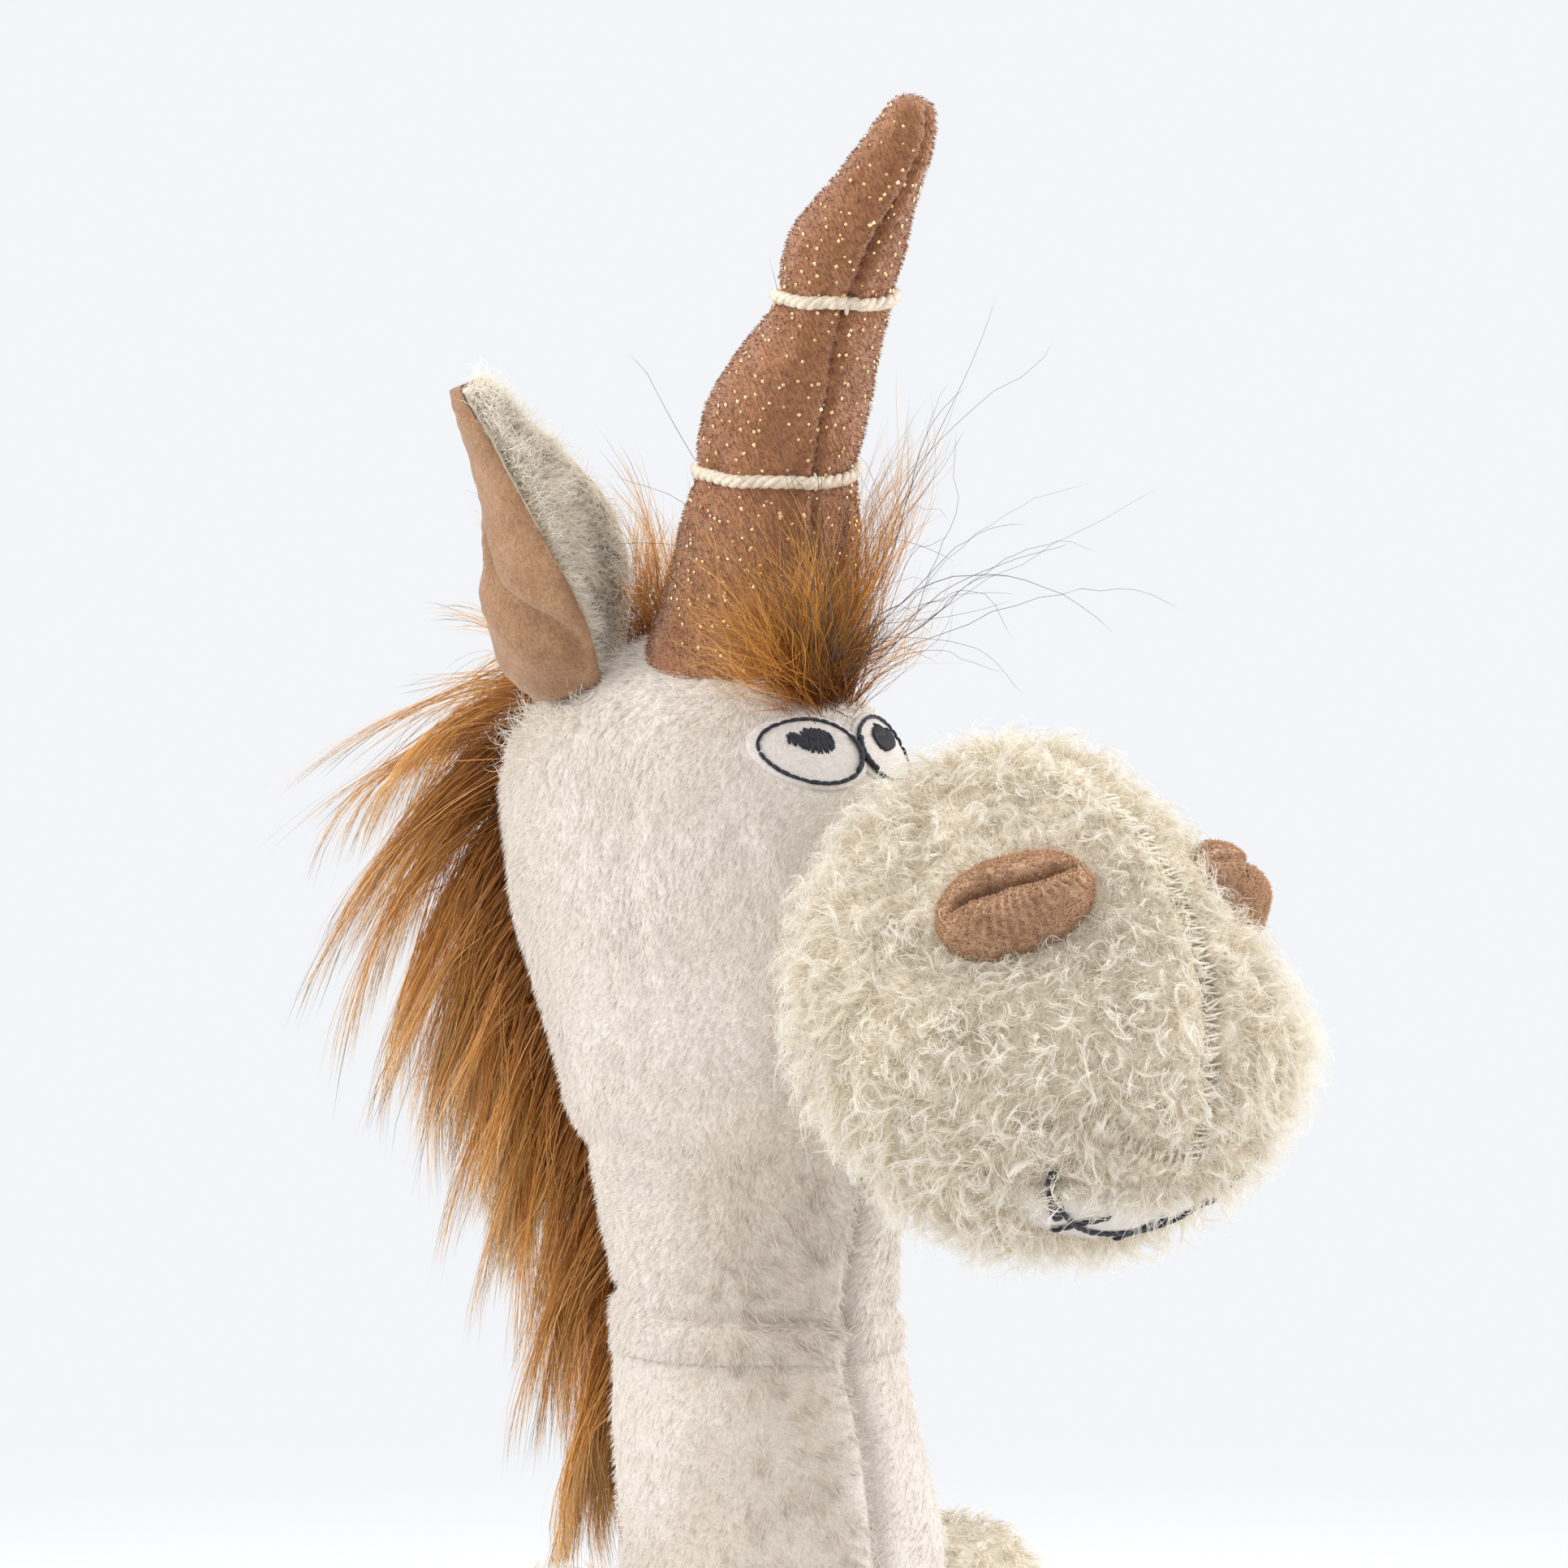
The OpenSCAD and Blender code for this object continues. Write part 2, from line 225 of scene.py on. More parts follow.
def move_points(piece, points):
    piece.data.vertices.foreach_set("co", (points * MM).astype(np.float32).ravel())
    piece.data.update()


def push(piece, amount):
    """Moves each point of a piece out along its normal."""
    move_points(piece, points_of(piece) + normals_of(piece) * amount[:, None])


def grid_quads(rows, cols, wrap):
    """Faces of a grid of points, joined round its columns if wrap is true."""
    row = np.arange(rows - 1)[:, None] * cols
    col = np.arange(cols if wrap else cols - 1)[None, :]
    beside = (col + 1) % cols
    return np.stack([row + col, row + beside, row + cols + beside, row + cols + col], -1).reshape(-1, 4)


def loft(name, rings):
    """A closed skin through rings of points, each of which runs anticlockwise seen from the last ring."""
    rows, cols = rings.shape[:2]
    col = np.arange(cols)
    beside = (col + 1) % cols
    first, last = rows * cols, rows * cols + 1
    top = (rows - 1) * cols
    caps = np.concatenate([
        np.stack([np.full(cols, first), beside, col], -1),
        np.stack([np.full(cols, last), top + col, top + beside], -1),
    ])
    points = np.concatenate([rings.reshape(-1, 3), [rings[0].mean(0)], [rings[-1].mean(0)]])
    return new_piece(name, points, grid_quads(rows, cols, True), caps)


def oval_rings(sections, cols, roundness=2.0):
    """Level rings from rows of (height, front, back, half width)."""
    c, s = np.cos(circle(cols)), np.sin(circle(cols))
    x = np.sign(c) * np.abs(c) ** (2 / roundness)
    y = np.sign(s) * np.abs(s) ** (2 / roundness)
    z, front, back, half = [column[:, None] for column in np.asarray(sections).T]
    return np.stack([half * x, (front + back) / 2 + (back - front) / 2 * y, z + 0 * x], -1)


def tube(name, line, radius):
    """A closed eight-sided tube along a line of points."""
    ahead = unit(np.gradient(line, axis=0))
    side = unit(np.cross(ahead[0], [0.3, 0.5, 0.81]))
    rings = []
    for point, heading in zip(line, ahead):
        side = unit(square_to(side, heading))
        rings.append(ring_round(point, heading, side, radius, 8))
    return loft(name, np.array(rings))


def join(name, pieces):
    """Makes one piece out of several."""
    points, quads, triangles, start = [], [], [], 0
    for piece in pieces:
        points.append(points_of(piece))
        for polygon in piece.data.polygons:
            corners = [start + v for v in polygon.vertices]
            (quads if len(corners) == 4 else triangles).append(corners)
        start += len(points[-1])
        bpy.data.objects.remove(piece)
    return new_piece(name, np.concatenate(points), quads, triangles)


# ---- Pile and hair ----

def scatter(piece, count, seed, keep=None):
    """Random places on a piece, evenly by area, with the normals there. keep gives a place's chance to
    stay, from 0 to 1."""
    mesh = piece.data
    mesh.calc_loop_triangles()
    corners = np.empty(len(mesh.loop_triangles) * 3, np.int32)
    mesh.loop_triangles.foreach_get("vertices", corners)
    a, b, c = corners.reshape(-1, 3).T
    co, normals = points_of(piece), normals_of(piece)
    area = np.linalg.norm(np.cross(co[b] - co[a], co[c] - co[a]), axis=1)
    rng = np.random.default_rng(seed)
    pick = rng.choice(len(area), size=count, p=area / area.sum())
    root, across = np.sqrt(rng.random((count, 1))), rng.random((count, 1))
    weights = (1 - root, root * (1 - across), root * across)
    places = sum(w * co[i[pick]] for w, i in zip(weights, (a, b, c)))
    facing = unit(sum(w * normals[i[pick]] for w, i in zip(weights, (a, b, c))))
    if keep is None:
        return places, facing
    kept = keep(places) > rng.random(count)
    return places[kept], facing[kept]


def scatter_on_grid(grid, count, rng):
    """Random places on an open grid of points, evenly by area, with the normals there."""
    near, far, beside, opposite = grid[:-1, :-1], grid[1:, :-1], grid[:-1, 1:], grid[1:, 1:]
    facing = np.cross(far - near, beside - near)
    area = np.linalg.norm(facing, axis=-1).ravel()
    pick = rng.choice(area.size, size=count, p=area / area.sum())
    u, v = rng.random((2, count, 1))
    near, far, beside, opposite = [c.reshape(-1, 3)[pick] for c in (near, far, beside, opposite)]
    places = (1 - u) * ((1 - v) * near + v * beside) + u * ((1 - v) * far + v * opposite)
    return places, unit(facing.reshape(-1, 3)[pick])


def strands(roots, starts, ends, lengths, steps, rng, curl=0.0, turns=1.0):
    """One curved line for each root. It sets off along starts, turns towards ends, and may spiral."""
    t = np.linspace(0, 1, steps + 1)
    heading = unit(starts[:, None] * (1 - t)[None, :, None] + ends[:, None] * t[None, :, None])
    stride = heading[:, :-1] * (lengths / steps)[:, None, None]
    lines = roots[:, None] + np.concatenate([0 * stride[:, :1], np.cumsum(stride, 1)], 1)
    side = unit(np.cross(starts, rng.normal(size=starts.shape)))
    other = np.cross(unit(starts), side)
    phase = rng.uniform(0, 2 * np.pi, (len(roots), 1)) + 2 * np.pi * turns * t
    swing = np.broadcast_to(curl, len(roots))[:, None, None] * t[:, None] ** 0.7
    spiral = np.cos(phase)[..., None] * side[:, None] + np.sin(phase)[..., None] * other[:, None]
    return lines + swing * (spiral - spiral[:, :1])


def locks(roots, starts, ends, lengths, rng, per_lock, root_spread, tip_spread,
          steps=9, wobble=1.2, curl=0.0, turns=0.5):
    """Strands in locks: each root is a lock, whose strands start near it and close up towards its tip."""
    count = len(roots)
    guides = strands(roots, starts, ends, lengths, steps, rng, curl, turns)
    guides = np.repeat(guides, per_lock, axis=0)
    t = np.linspace(0, 1, steps + 1)[None, :, None]
    spread = rng.normal(size=(count * per_lock, 1, 3))
    near = root_spread * (1 - smooth(t, 0, 0.6)) + tip_spread * (0.35 + 0.65 * smooth(t, 0.5, 1.0))
    reach = rng.uniform(0.72, 1.08, (count * per_lock, 1, 1))
    scaled = guides[:, :1] + (guides - guides[:, :1]) * reach
    sway = rng.normal(size=(count * per_lock, 1, 3))
    pace = rng.uniform(0.8, 1.7, (count * per_lock, 1, 1))
    return scaled + spread * near + wobble * sway * np.sin(np.pi * t * pace) * t


def strand_piece(name, lines, flat, width, rng, tip, sides):
    """One mesh of tapered strands: flat ribbons if sides is 2, or threads with that many sides."""
    count, points_each = lines.shape[:2]
    ahead = unit(np.gradient(lines, axis=1))
    side = unit(square_to(flat[:, None], ahead))
    other = np.cross(ahead, side)
    taper = np.linspace(1, tip, points_each)[None, :, None]
    half = width / 2 * rng.uniform(0.7, 1.3, (count, 1, 1)) * taper
    corners = [lines - half * (math.cos(a) * side + math.sin(a) * other) for a in circle(sides)]
    rows = np.stack(corners, axis=2)[:, :-1].reshape(count, -1, 3)
    points = np.concatenate([rows, lines[:, -1:]], axis=1)
    each = points.shape[1]
    first = np.arange(count)[:, None, None] * each
    row = first + sides * np.arange(points_each - 2)[None, :, None]
    corner = np.arange(sides if sides > 2 else 1)
    beside = (corner + 1) % sides
    quads = np.stack([row + corner, row + beside, row + sides + beside, row + sides + corner], -1)
    last = first + each - 1 - sides
    ends = np.stack([last + corner, last + beside, last + sides + 0 * corner], -1)
    piece = new_piece(name, points.reshape(-1, 3), quads, ends)
    t = np.linspace(0, 1, points_each)
    mark(piece, "along", np.broadcast_to(np.append(np.repeat(t[:-1], sides), 1), (count, each)))
    mark(piece, "tone", np.broadcast_to(rng.random((count, 1)), (count, each)))
    return piece


def grow(name, lines, width, rng, material, slot, body, tip=0.25, facing=None, sides=2):
    """Makes finished pieces of tapered strands. Ribbons lie roughly square to facing, if it is given."""
    faces_round = sides if sides > 2 else 1
    share = PIECE_TRIANGLES // (faces_round * (2 * lines.shape[1] - 3))
    flat = rng.normal(size=(len(lines), 3))
    if facing is not None:
        flat = np.cross(facing + 0.3 * flat, lines[:, -1] - lines[:, 0])
    pieces = []
    for i, start in enumerate(range(0, len(lines), share)):
        part = slice(start, start + share)
        piece = strand_piece(f"{name}_{i + 1}", lines[part], flat[part], width, rng, tip, sides)
        pieces.append(finish_piece(piece, material, slot, body))
    return pieces


# ---- Materials ----

class Cloth:
    """A node material round one Principled shader, with short calls for what the fabrics share."""

    def __init__(self, name, roughness, sheen=0.0, sheen_roughness=0.5, specular=0.3, metallic=0.0):
        self.material = bpy.data.materials.new(name)
        self.material.use_nodes = True
        self.nodes = self.material.node_tree.nodes
        self.links = self.material.node_tree.links
        self.shader = self.nodes["Principled BSDF"]
        self.set("Roughness", roughness)
        self.set("Sheen Weight", sheen)
        self.set("Sheen Roughness", sheen_roughness)
        self.set("Specular IOR Level", specular)
        self.set("Metallic", metallic)

    def set(self, socket, value):
        self.shader.inputs[socket].default_value = value

    def link(self, source, target):
        self.links.new(source, target)
        return self

    def feed(self, *pairs):
        """Gives each socket its value: a number, a colour, or the output of another node."""
        for value, socket in pairs:
            if isinstance(value, (int, float)):
                socket.default_value = value
            elif isinstance(value, tuple):
                socket.default_value = (*value, 1)
            else:
                self.link(value, socket)

    def place(self):
        return self.nodes.new("ShaderNodeTexCoord").outputs["Object"]

    def noise(self, size_m, detail=3.0, distortion=0.0):
        node = self.nodes.new("ShaderNodeTexNoise")
        node.inputs["Scale"].default_value = 1 / size_m
        node.inputs["Detail"].default_value = detail
        node.inputs["Distortion"].default_value = distortion
        self.link(self.place(), node.inputs["Vector"])
        return node.outputs["Fac"]

    def ribs(self, size_m, direction, distortion=1.0):
        """Bands across a direction, spaced that far apart."""
        stretch = self.nodes.new("ShaderNodeVectorRotate")
        stretch.rotation_type = "EULER_XYZ"
        stretch.inputs["Rotation"].default_value = direction
        self.link(self.place(), stretch.inputs["Vector"])
        node = self.nodes.new("ShaderNodeTexWave")
        node.inputs["Scale"].default_value = math.pi / 10 / size_m
        node.inputs["Distortion"].default_value = distortion
        node.inputs["Detail"].default_value = 2
        node.inputs["Detail Scale"].default_value = 1.5
        self.link(stretch.outputs["Vector"], node.inputs["Vector"])
        return node.outputs["Fac"]

    def fade(self, axis, start, end):
        """Goes from 0 to 1 as one coordinate goes from start to end, in metres."""
        split = self.nodes.new("ShaderNodeSeparateXYZ")
        self.link(self.place(), split.inputs[0])
        return self.smooth_step(split.outputs[axis], start, end)

    def smooth_step(self, source, start, end):
        node = self.nodes.new("ShaderNodeMapRange")
        node.interpolation_type = "SMOOTHSTEP"
        node.inputs["From Min"].default_value = min(start, end)
        node.inputs["From Max"].default_value = max(start, end)
        node.inputs["To Min"].default_value = 0.0 if start < end else 1.0
        node.inputs["To Max"].default_value = 1.0 if start < end else 0.0
        self.link(source, node.inputs["Value"])
        return node.outputs["Result"]

    def painted_neck_shade(self, colour):
        """Painted shade: the right side of the neck's front, under the muzzle, is made a little darker and
        browner. It stands for the muzzle's shadow there, and in part for the pile there, which lies the other
        way.
        """
        across = self.math("MULTIPLY", self.fade("X", -0.002, -0.010), self.fade("Y", -0.002, -0.020))
        amount = self.math("MULTIPLY", across, self.fade("Z", 0.252, 0.232))
        return self.tinted(colour, self.mix(amount, (1.0, 1.0, 1.0), (0.97, 0.95, 0.93)))

    def attribute(self, name):
        node = self.nodes.new("ShaderNodeAttribute")
        node.attribute_name = name
        return node.outputs["Fac"]

    def ramp(self, source, stops):
        """Colours by a number: stops are (position, (red, green, blue)) in linear light."""
        node = self.nodes.new("ShaderNodeValToRGB")
        elements = node.color_ramp.elements
        while len(elements) < len(stops):
            elements.new(0.5)
        for element, (position, colour) in zip(elements, stops):
            element.position = position
            element.color = (*colour, 1)
        self.link(source, node.inputs["Fac"])
        return node.outputs["Color"]

    def mottled(self, dark, light, size_m, detail=3.0, distortion=0.0, stops=(0.3, 0.7)):
        """Two colours and the shades between them, in patches of about that size."""
        return self.ramp(self.noise(size_m, detail, distortion), [(stops[0], dark), (stops[1], light)])

    def tinted(self, colour, *tints):
        """A colour multiplied by each of the tints."""
        for tint in tints:
            colour = self.mix(1.0, colour, tint, "MULTIPLY")
        return colour

    def math(self, operation, a, b):
        node = self.nodes.new("ShaderNodeMath")
        node.operation = operation
        self.feed((a, node.inputs[0]), (b, node.inputs[1]))
        return node.outputs[0]

    def mix(self, amount, a, b, blend="MIX"):
        node = self.nodes.new("ShaderNodeMix")
        node.data_type = "RGBA"
        node.blend_type = blend
        self.feed((amount, node.inputs[0]), (a, node.inputs[6]), (b, node.inputs[7]))
        return node.outputs[2]

    def colour(self, source):
        return self.link(source, self.shader.inputs["Base Color"])

    def glow_through(self, share):
        """Lets that share of the light through, as thin fibres do."""
        behind = self.nodes.new("ShaderNodeBsdfTranslucent")
        self.link(self.shader.inputs["Base Color"].links[0].from_socket, behind.inputs["Color"])
        return self.mix_shader(share, behind)

    def mix_shader(self, amount, other):
        """Puts another shader over the main one, by an amount or the output of a node."""
        both = self.nodes.new("ShaderNodeMixShader")
        self.feed((amount, both.inputs[0]), (self.shader.outputs[0], both.inputs[1]),
                  (other.outputs[0], both.inputs[2]))
        return self.link(both.outputs[0], self.nodes["Material Output"].inputs["Surface"])

    def bump(self, height, depth_m):
        node = self.nodes.new("ShaderNodeBump")
        node.inputs["Distance"].default_value = depth_m
        self.link(height, node.inputs["Height"])
        previous = self.shader.inputs["Normal"]
        if previous.is_linked:
            self.link(previous.links[0].from_socket, node.inputs["Normal"])
        return self.link(node.outputs["Normal"], previous)


def plush_material():
    cloth = Cloth("cream_plush", 0.9, sheen=0.25)
    patches = cloth.mottled((0.68, 0.615, 0.545), (0.76, 0.70, 0.635), 0.022, stops=(0.35, 0.65))
    fibres = cloth.mottled((0.80, 0.78, 0.76), (1, 1, 1), 0.0012, 4, 2.0)
    # Painted shade on the right of the neck's front, under the muzzle
    cloth.colour(cloth.painted_neck_shade(cloth.tinted(patches, fibres)))
    return cloth.bump(cloth.noise(0.0009, 4, 1.5), 0.0004).material


def pile_material(name, root, middle, tip, spread=0.12, patches=0.02, neck_shade=False):
    """Strands that go from root to tip colour, each a little lighter or darker than the next."""
    cloth = Cloth(name, 0.85, sheen=0.15, specular=0.25)
    along = cloth.ramp(cloth.attribute("along"), [(0.0, root), (0.45, middle), (1.0, tip)])
    tones = cloth.ramp(cloth.attribute("tone"), [(0.0, (1 - spread,) * 3), (0.6, (1, 1, 1))])
    areas = cloth.mottled((0.94, 0.937, 0.933), (1, 1, 1), patches, stops=(0.35, 0.6))
    colour = cloth.tinted(along, tones, areas)
    # When asked, the right of the neck's front under the muzzle gets painted shade
    cloth.colour(cloth.painted_neck_shade(colour) if neck_shade else colour)
    return cloth.glow_through(0.3).material


def curly_base_material():
    cloth = Cloth("curly_backing", 0.95, sheen=0.2)
    cloth.colour(cloth.mottled((0.62, 0.545, 0.42), (0.78, 0.715, 0.60), 0.003))
    return cloth.bump(cloth.noise(0.0015, 3, 1.0), 0.0006).material


def velour_material(name, dark, light, evenness=0.25):
    """Short velour. The lower its evenness, the more its nubs stand out."""
    cloth = Cloth(name, 0.85, sheen=0.3, sheen_roughness=0.4)
    nap = cloth.mottled((0.80, 0.77, 0.74), (1.06, 1.06, 1.06), 0.0007, 4, 1.0,
                        stops=(0.5 - evenness, 0.5 + evenness))
    cloth.colour(cloth.tinted(cloth.mottled(dark, light, 0.007), nap))
    return cloth.bump(cloth.noise(0.0006, 4, 1.0), 0.0004).material


def horn_material():
    cloth = Cloth("horn_knit", 0.7, sheen=0.3, specular=0.4)
    ribs = cloth.ribs(0.0009, (0.25, 0.35, 0.75), 6.0)
    shade = cloth.mottled((0.31, 0.125, 0.047), (0.40, 0.178, 0.076), 0.012)
    lines = cloth.ramp(ribs, [(0.2, (0.90, 0.88, 0.86)), (0.7, (1.04, 1.04, 1.04))])
    nubs = cloth.mottled((0.74, 0.70, 0.67), (1.08, 1.08, 1.08), 0.0011, 3, 0.6, stops=(0.35, 0.65))
    cloth.colour(cloth.tinted(shade, lines, nubs))
    return cloth.bump(ribs, 0.00012).bump(cloth.noise(0.0011, 3, 0.6), 0.0006).material


def plain_fabric_material(name, dark, light, grain_m, roughness=0.85):
    cloth = Cloth(name, roughness, sheen=0.1)
    cloth.colour(cloth.mottled(dark, light, grain_m, 4, 0.8))
    return cloth.bump(cloth.noise(grain_m * 0.6, 4, 0.5), grain_m * 0.25).material


def fur_material(name, dark_tips, shade=(1.0, 1.0, 1.0), shine=0.3):
    """Hair with a dark root, golden length and, on some strands, a black tip."""
    cloth = Cloth(name, 0.4, specular=shine)
    along = cloth.attribute("along")
    stops = [(0.0, (0.16, 0.054, 0.012)), (0.15, (0.45, 0.190, 0.046)), (0.6, (0.77, 0.430, 0.135)),
             (1.0, (0.87, 0.600, 0.290))]
    length = cloth.ramp(along, [(place, tuple(np.multiply(shade, colour))) for place, colour in stops])
    tones = cloth.ramp(cloth.attribute("tone"), [(0.0, (0.55, 0.49, 0.44)), (0.5, (0.95, 0.93, 0.90)),
                                                 (1.0, (1.15, 1.15, 1.15))])
    golden = cloth.tinted(length, tones)
    has_tip = cloth.math("LESS_THAN", cloth.attribute("tone"), dark_tips)
    near_tip = cloth.math("MULTIPLY", cloth.math("SUBTRACT", along, 0.72), 5.0)
    near_tip = cloth.math("MINIMUM", cloth.math("MAXIMUM", near_tip, 0.0), 0.92)
    amount = cloth.math("MULTIPLY", has_tip, near_tip)
    return cloth.colour(cloth.mix(amount, golden, (0.03, 0.018, 0.014))).glow_through(0.2).material


def gold_material():
    cloth = Cloth("gold_glitter", 0.3, metallic=0.9)
    return cloth.colour(cloth.mottled((0.80, 0.52, 0.20), (1.0, 0.80, 0.45), 0.003)).material


MATERIALS = {
    "plush": plush_material(),
    # Its right side of the neck's front under the muzzle gets painted shade
    "plush_pile": pile_material("plush_pile", (0.68, 0.62, 0.55), (0.755, 0.70, 0.635), (0.81, 0.765, 0.71),
                                spread=0.05, neck_shade=True),
    "seat": plain_fabric_material("seat_cloth", (0.66, 0.61, 0.56), (0.78, 0.74, 0.70), 0.0012),
    "curly_backing": curly_base_material(),
    # Painted shade: the underpile is a darker copy of the curly pile, for the shade deep among the curls. In
    # both, the darker roots are painted shade and the whiter tips painted light.
    "shaded_curly_underpile": pile_material("shaded_curly_underpile", (0.67, 0.585, 0.45), (0.87, 0.80, 0.67),
                                     (0.94, 0.90, 0.81), spread=0.13),
    "curly_pile": pile_material("curly_pile", (0.74, 0.655, 0.515), (0.92, 0.87, 0.765),
                                (0.98, 0.955, 0.895), spread=0.10),
    # Painted light: a brighter copy of the curly pile, so that the ear linings, in shade in their cups, come
    # out bright; the fuzz round the foot of each ear uses it too
    "lit_lining_pile": pile_material("lit_lining_pile", (0.88, 0.79, 0.65), (0.97, 0.915, 0.81), (1.0, 0.97, 0.90),
                                 spread=0.10, patches=0.008),
    "velour": velour_material("tan_velour", (0.47, 0.28, 0.16), (0.63, 0.405, 0.26)),
    # Painted shade: a darker copy of the tan velour for the ear backs, which the lamps light more than the
    # nostrils
    "shaded_ear_velour": velour_material("shaded_ear_velour", (0.325, 0.175, 0.09), (0.42, 0.245, 0.135), 0.09),
    "velour_pile": pile_material("velour_pile", (0.50, 0.30, 0.17), (0.63, 0.40, 0.245), (0.75, 0.52, 0.35),
                                 spread=0.3, patches=0.006),
    "horn": horn_material(),
    "horn_pile": pile_material("horn_nap", (0.26, 0.095, 0.036), (0.37, 0.155, 0.062), (0.46, 0.215, 0.098),
                               spread=0.4, patches=0.01),
    "cord": plain_fabric_material("horn_cord", (0.62, 0.50, 0.36), (0.84, 0.75, 0.62), 0.0009),
    "felt": plain_fabric_material("felt", (0.56, 0.515, 0.475), (0.66, 0.615, 0.575), 0.0011),
    "thread": plain_fabric_material("thread", (0.008, 0.009, 0.015), (0.022, 0.023, 0.034), 0.0005, 0.6),
    "seam_thread": plain_fabric_material("seam_thread", (0.64, 0.57, 0.44), (0.84, 0.78, 0.66), 0.0008,
                                         0.6),
    "horn_thread": plain_fabric_material("horn_thread", (0.14, 0.050, 0.022), (0.26, 0.10, 0.048), 0.0008,
                                         0.6),
    "fur": fur_material("faux_fur", 0.30),
    "forelock_fur": fur_material("forelock_fur", 0.18, (0.88, 0.76, 0.55), 0.15),
    "fur_core": fur_material("faux_fur_core", 0.0, (0.42, 0.38, 0.34), 0.15),
    "guard_hair": plain_fabric_material("guard_hair", (0.015, 0.016, 0.03), (0.13, 0.08, 0.05), 0.01, 0.4),
    "gold": gold_material(),
    "label": plain_fabric_material("label_ribbon", (0.66, 0.64, 0.60), (0.76, 0.745, 0.71), 0.0006, 0.4),
}


def finish_piece(piece, material, slot, body, *nodes):
    """Gives a piece its material, joins it to its body, and hides the CAD nodes it stands for. A piece on a
    bend keeps its place, baked into its points.
    """
    piece.data.materials.append(MATERIALS[material])
    if body in BENDS:
        first, second, start, end = BENDS[body]
        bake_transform(piece)
    else:
        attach(piece, body)
    if nodes:
        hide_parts(*nodes)
    return piece


# ---- Camera, light and floor ----

def add_camera():
    """Looks from the toy's right front, a little above the level of its neck."""
    azimuth, elevation, distance_m = -40, 3, 1.186
    target = Vector((0.0043, -0.0036, 0.3017))
    ahead = Vector(turned(2, azimuth) @ turned(0, -elevation) @ BACKWARD)
    camera = bpy.data.objects.new("camera", bpy.data.cameras.new("camera"))
    camera.data.sensor_width = 36
    camera.data.lens = 140
    camera.data.clip_start = 0.05
    camera.data.clip_end = 60
    camera.location = target - ahead * distance_m
    camera.rotation_euler = ahead.to_track_quat("-Z", "Y").to_euler()
    bpy.context.scene.collection.objects.link(camera)
    bpy.context.scene.camera = camera


def add_light(name, place, power, colour):
    """A square soft light, one metre wide, that faces the toy."""
    light = bpy.data.lights.new(name, "AREA")
    light.energy = power
    light.size = 1.0
    light.color = colour
    lamp = bpy.data.objects.new(name, light)
    lamp.location = place
    lamp.rotation_euler = (Vector((0, 0, 0.25)) - Vector(place)).to_track_quat("-Z", "Y").to_euler()
    lamp.visible_camera = False
    bpy.context.scene.collection.objects.link(lamp)


def add_floor(backdrop):
    """A pale round floor that brightens into the backdrop away from the toy."""
    radii, count = (0.001, 150, 400, 900, 1600, 3200), 96
    points = np.concatenate([ring_round(0 * UP, UP, LEFTWARD, radius, count) for radius in radii])
    floor = new_piece("floor", points, grid_quads(len(radii), count, True)[:, ::-1])
    cloth = Cloth("floor", 0.9)
    cloth.colour(cloth.mottled((0.84, 0.84, 0.85), (0.87, 0.87, 0.88), 0.5))
    glow = cloth.nodes.new("ShaderNodeEmission")
    glow.inputs["Color"].default_value = (*backdrop, 1)
    distance = cloth.nodes.new("ShaderNodeVectorMath")
    distance.operation = "LENGTH"
    cloth.link(cloth.place(), distance.inputs[0])
    cloth.mix_shader(cloth.smooth_step(distance.outputs["Value"], 0.35, 1.1), glow)
    floor.data.materials.append(cloth.material)


def add_studio():
    backdrop = (0.90, 0.915, 0.945)
    world = bpy.data.worlds.new("studio")
    world.use_nodes = True
    world.node_tree.nodes["Background"].inputs["Color"].default_value = (*backdrop, 1)
    world.node_tree.nodes["Background"].inputs["Strength"].default_value = 1.0
    bpy.context.scene.world = world
    add_light("left_softbox", (-1.2, 0.7, 0.9), 17, (1.0, 0.985, 0.96))
    add_light("right_softbox", (1.3, -0.85, 0.8), 21, (1.0, 0.99, 0.97))
    add_light("top_softbox", (0.0, -0.1, 1.7), 8, (1.0, 0.99, 0.97))
    add_floor(backdrop)
    bpy.context.scene.view_settings.view_transform = "Standard"


add_camera()
add_studio()


# ---- Head and neck skins ----

# Rows of height, front, back and half width
HEAD_SECTIONS = [
    (192, -28.2, 27.1, 29.0), (202, -27.7, 27.2, 28.2), (214, -29.5, 31.0, 27.8), (226, -33.0, 36.0, 27.8),
    (244, -39.0, 47.0, 29.3), (262, -42.0, 57.0, 30.5), (280, -40.0, 64.0, 30.8), (296, -37.0, 67.5, 30.5),
    (307, -33.0, 65.5, 29.5), (317, -25.0, 57.0, 25.5), (325.5, -13.0, 42.0, 18.0), (329.5, -2.0, 30.0, 10.0),
    (330.8, 10.0, 18.0, 3.0), (331.0, 13.9, 14.1, 0.1),
]
BODY_SECTIONS = [
    (0.3, -30.5, 30.5, 30.5), (0.8, -34.0, 34.0, 35.0), (3.5, -38.0, 38.0, 39.5), (10, -43.0, 43.0, 45.0),
    (22, -48.5, 48.5, 51.5), (40, -51.5, 51.5, 54.5), (60, -49.5, 49.5, 52.5), (80, -45.5, 44.0, 48.0),
    (100, -41.5, 37.5, 43.0), (120, -38.5, 30.0, 38.0), (135, -37.5, 25.0, 34.5), (150, -37.5, 21.5, 32.5),
    (165, -35.0, 23.0, 31.0), (180, -31.5, 26.0, 29.7), (192, -27.5, 26.3, 28.3), (200, -26.0, 25.2, 26.9),
    (205, -24.0, 23.5, 24.5), (208, -18.0, 18.0, 18.0), (209, -3.0, 3.0, 3.0),
]


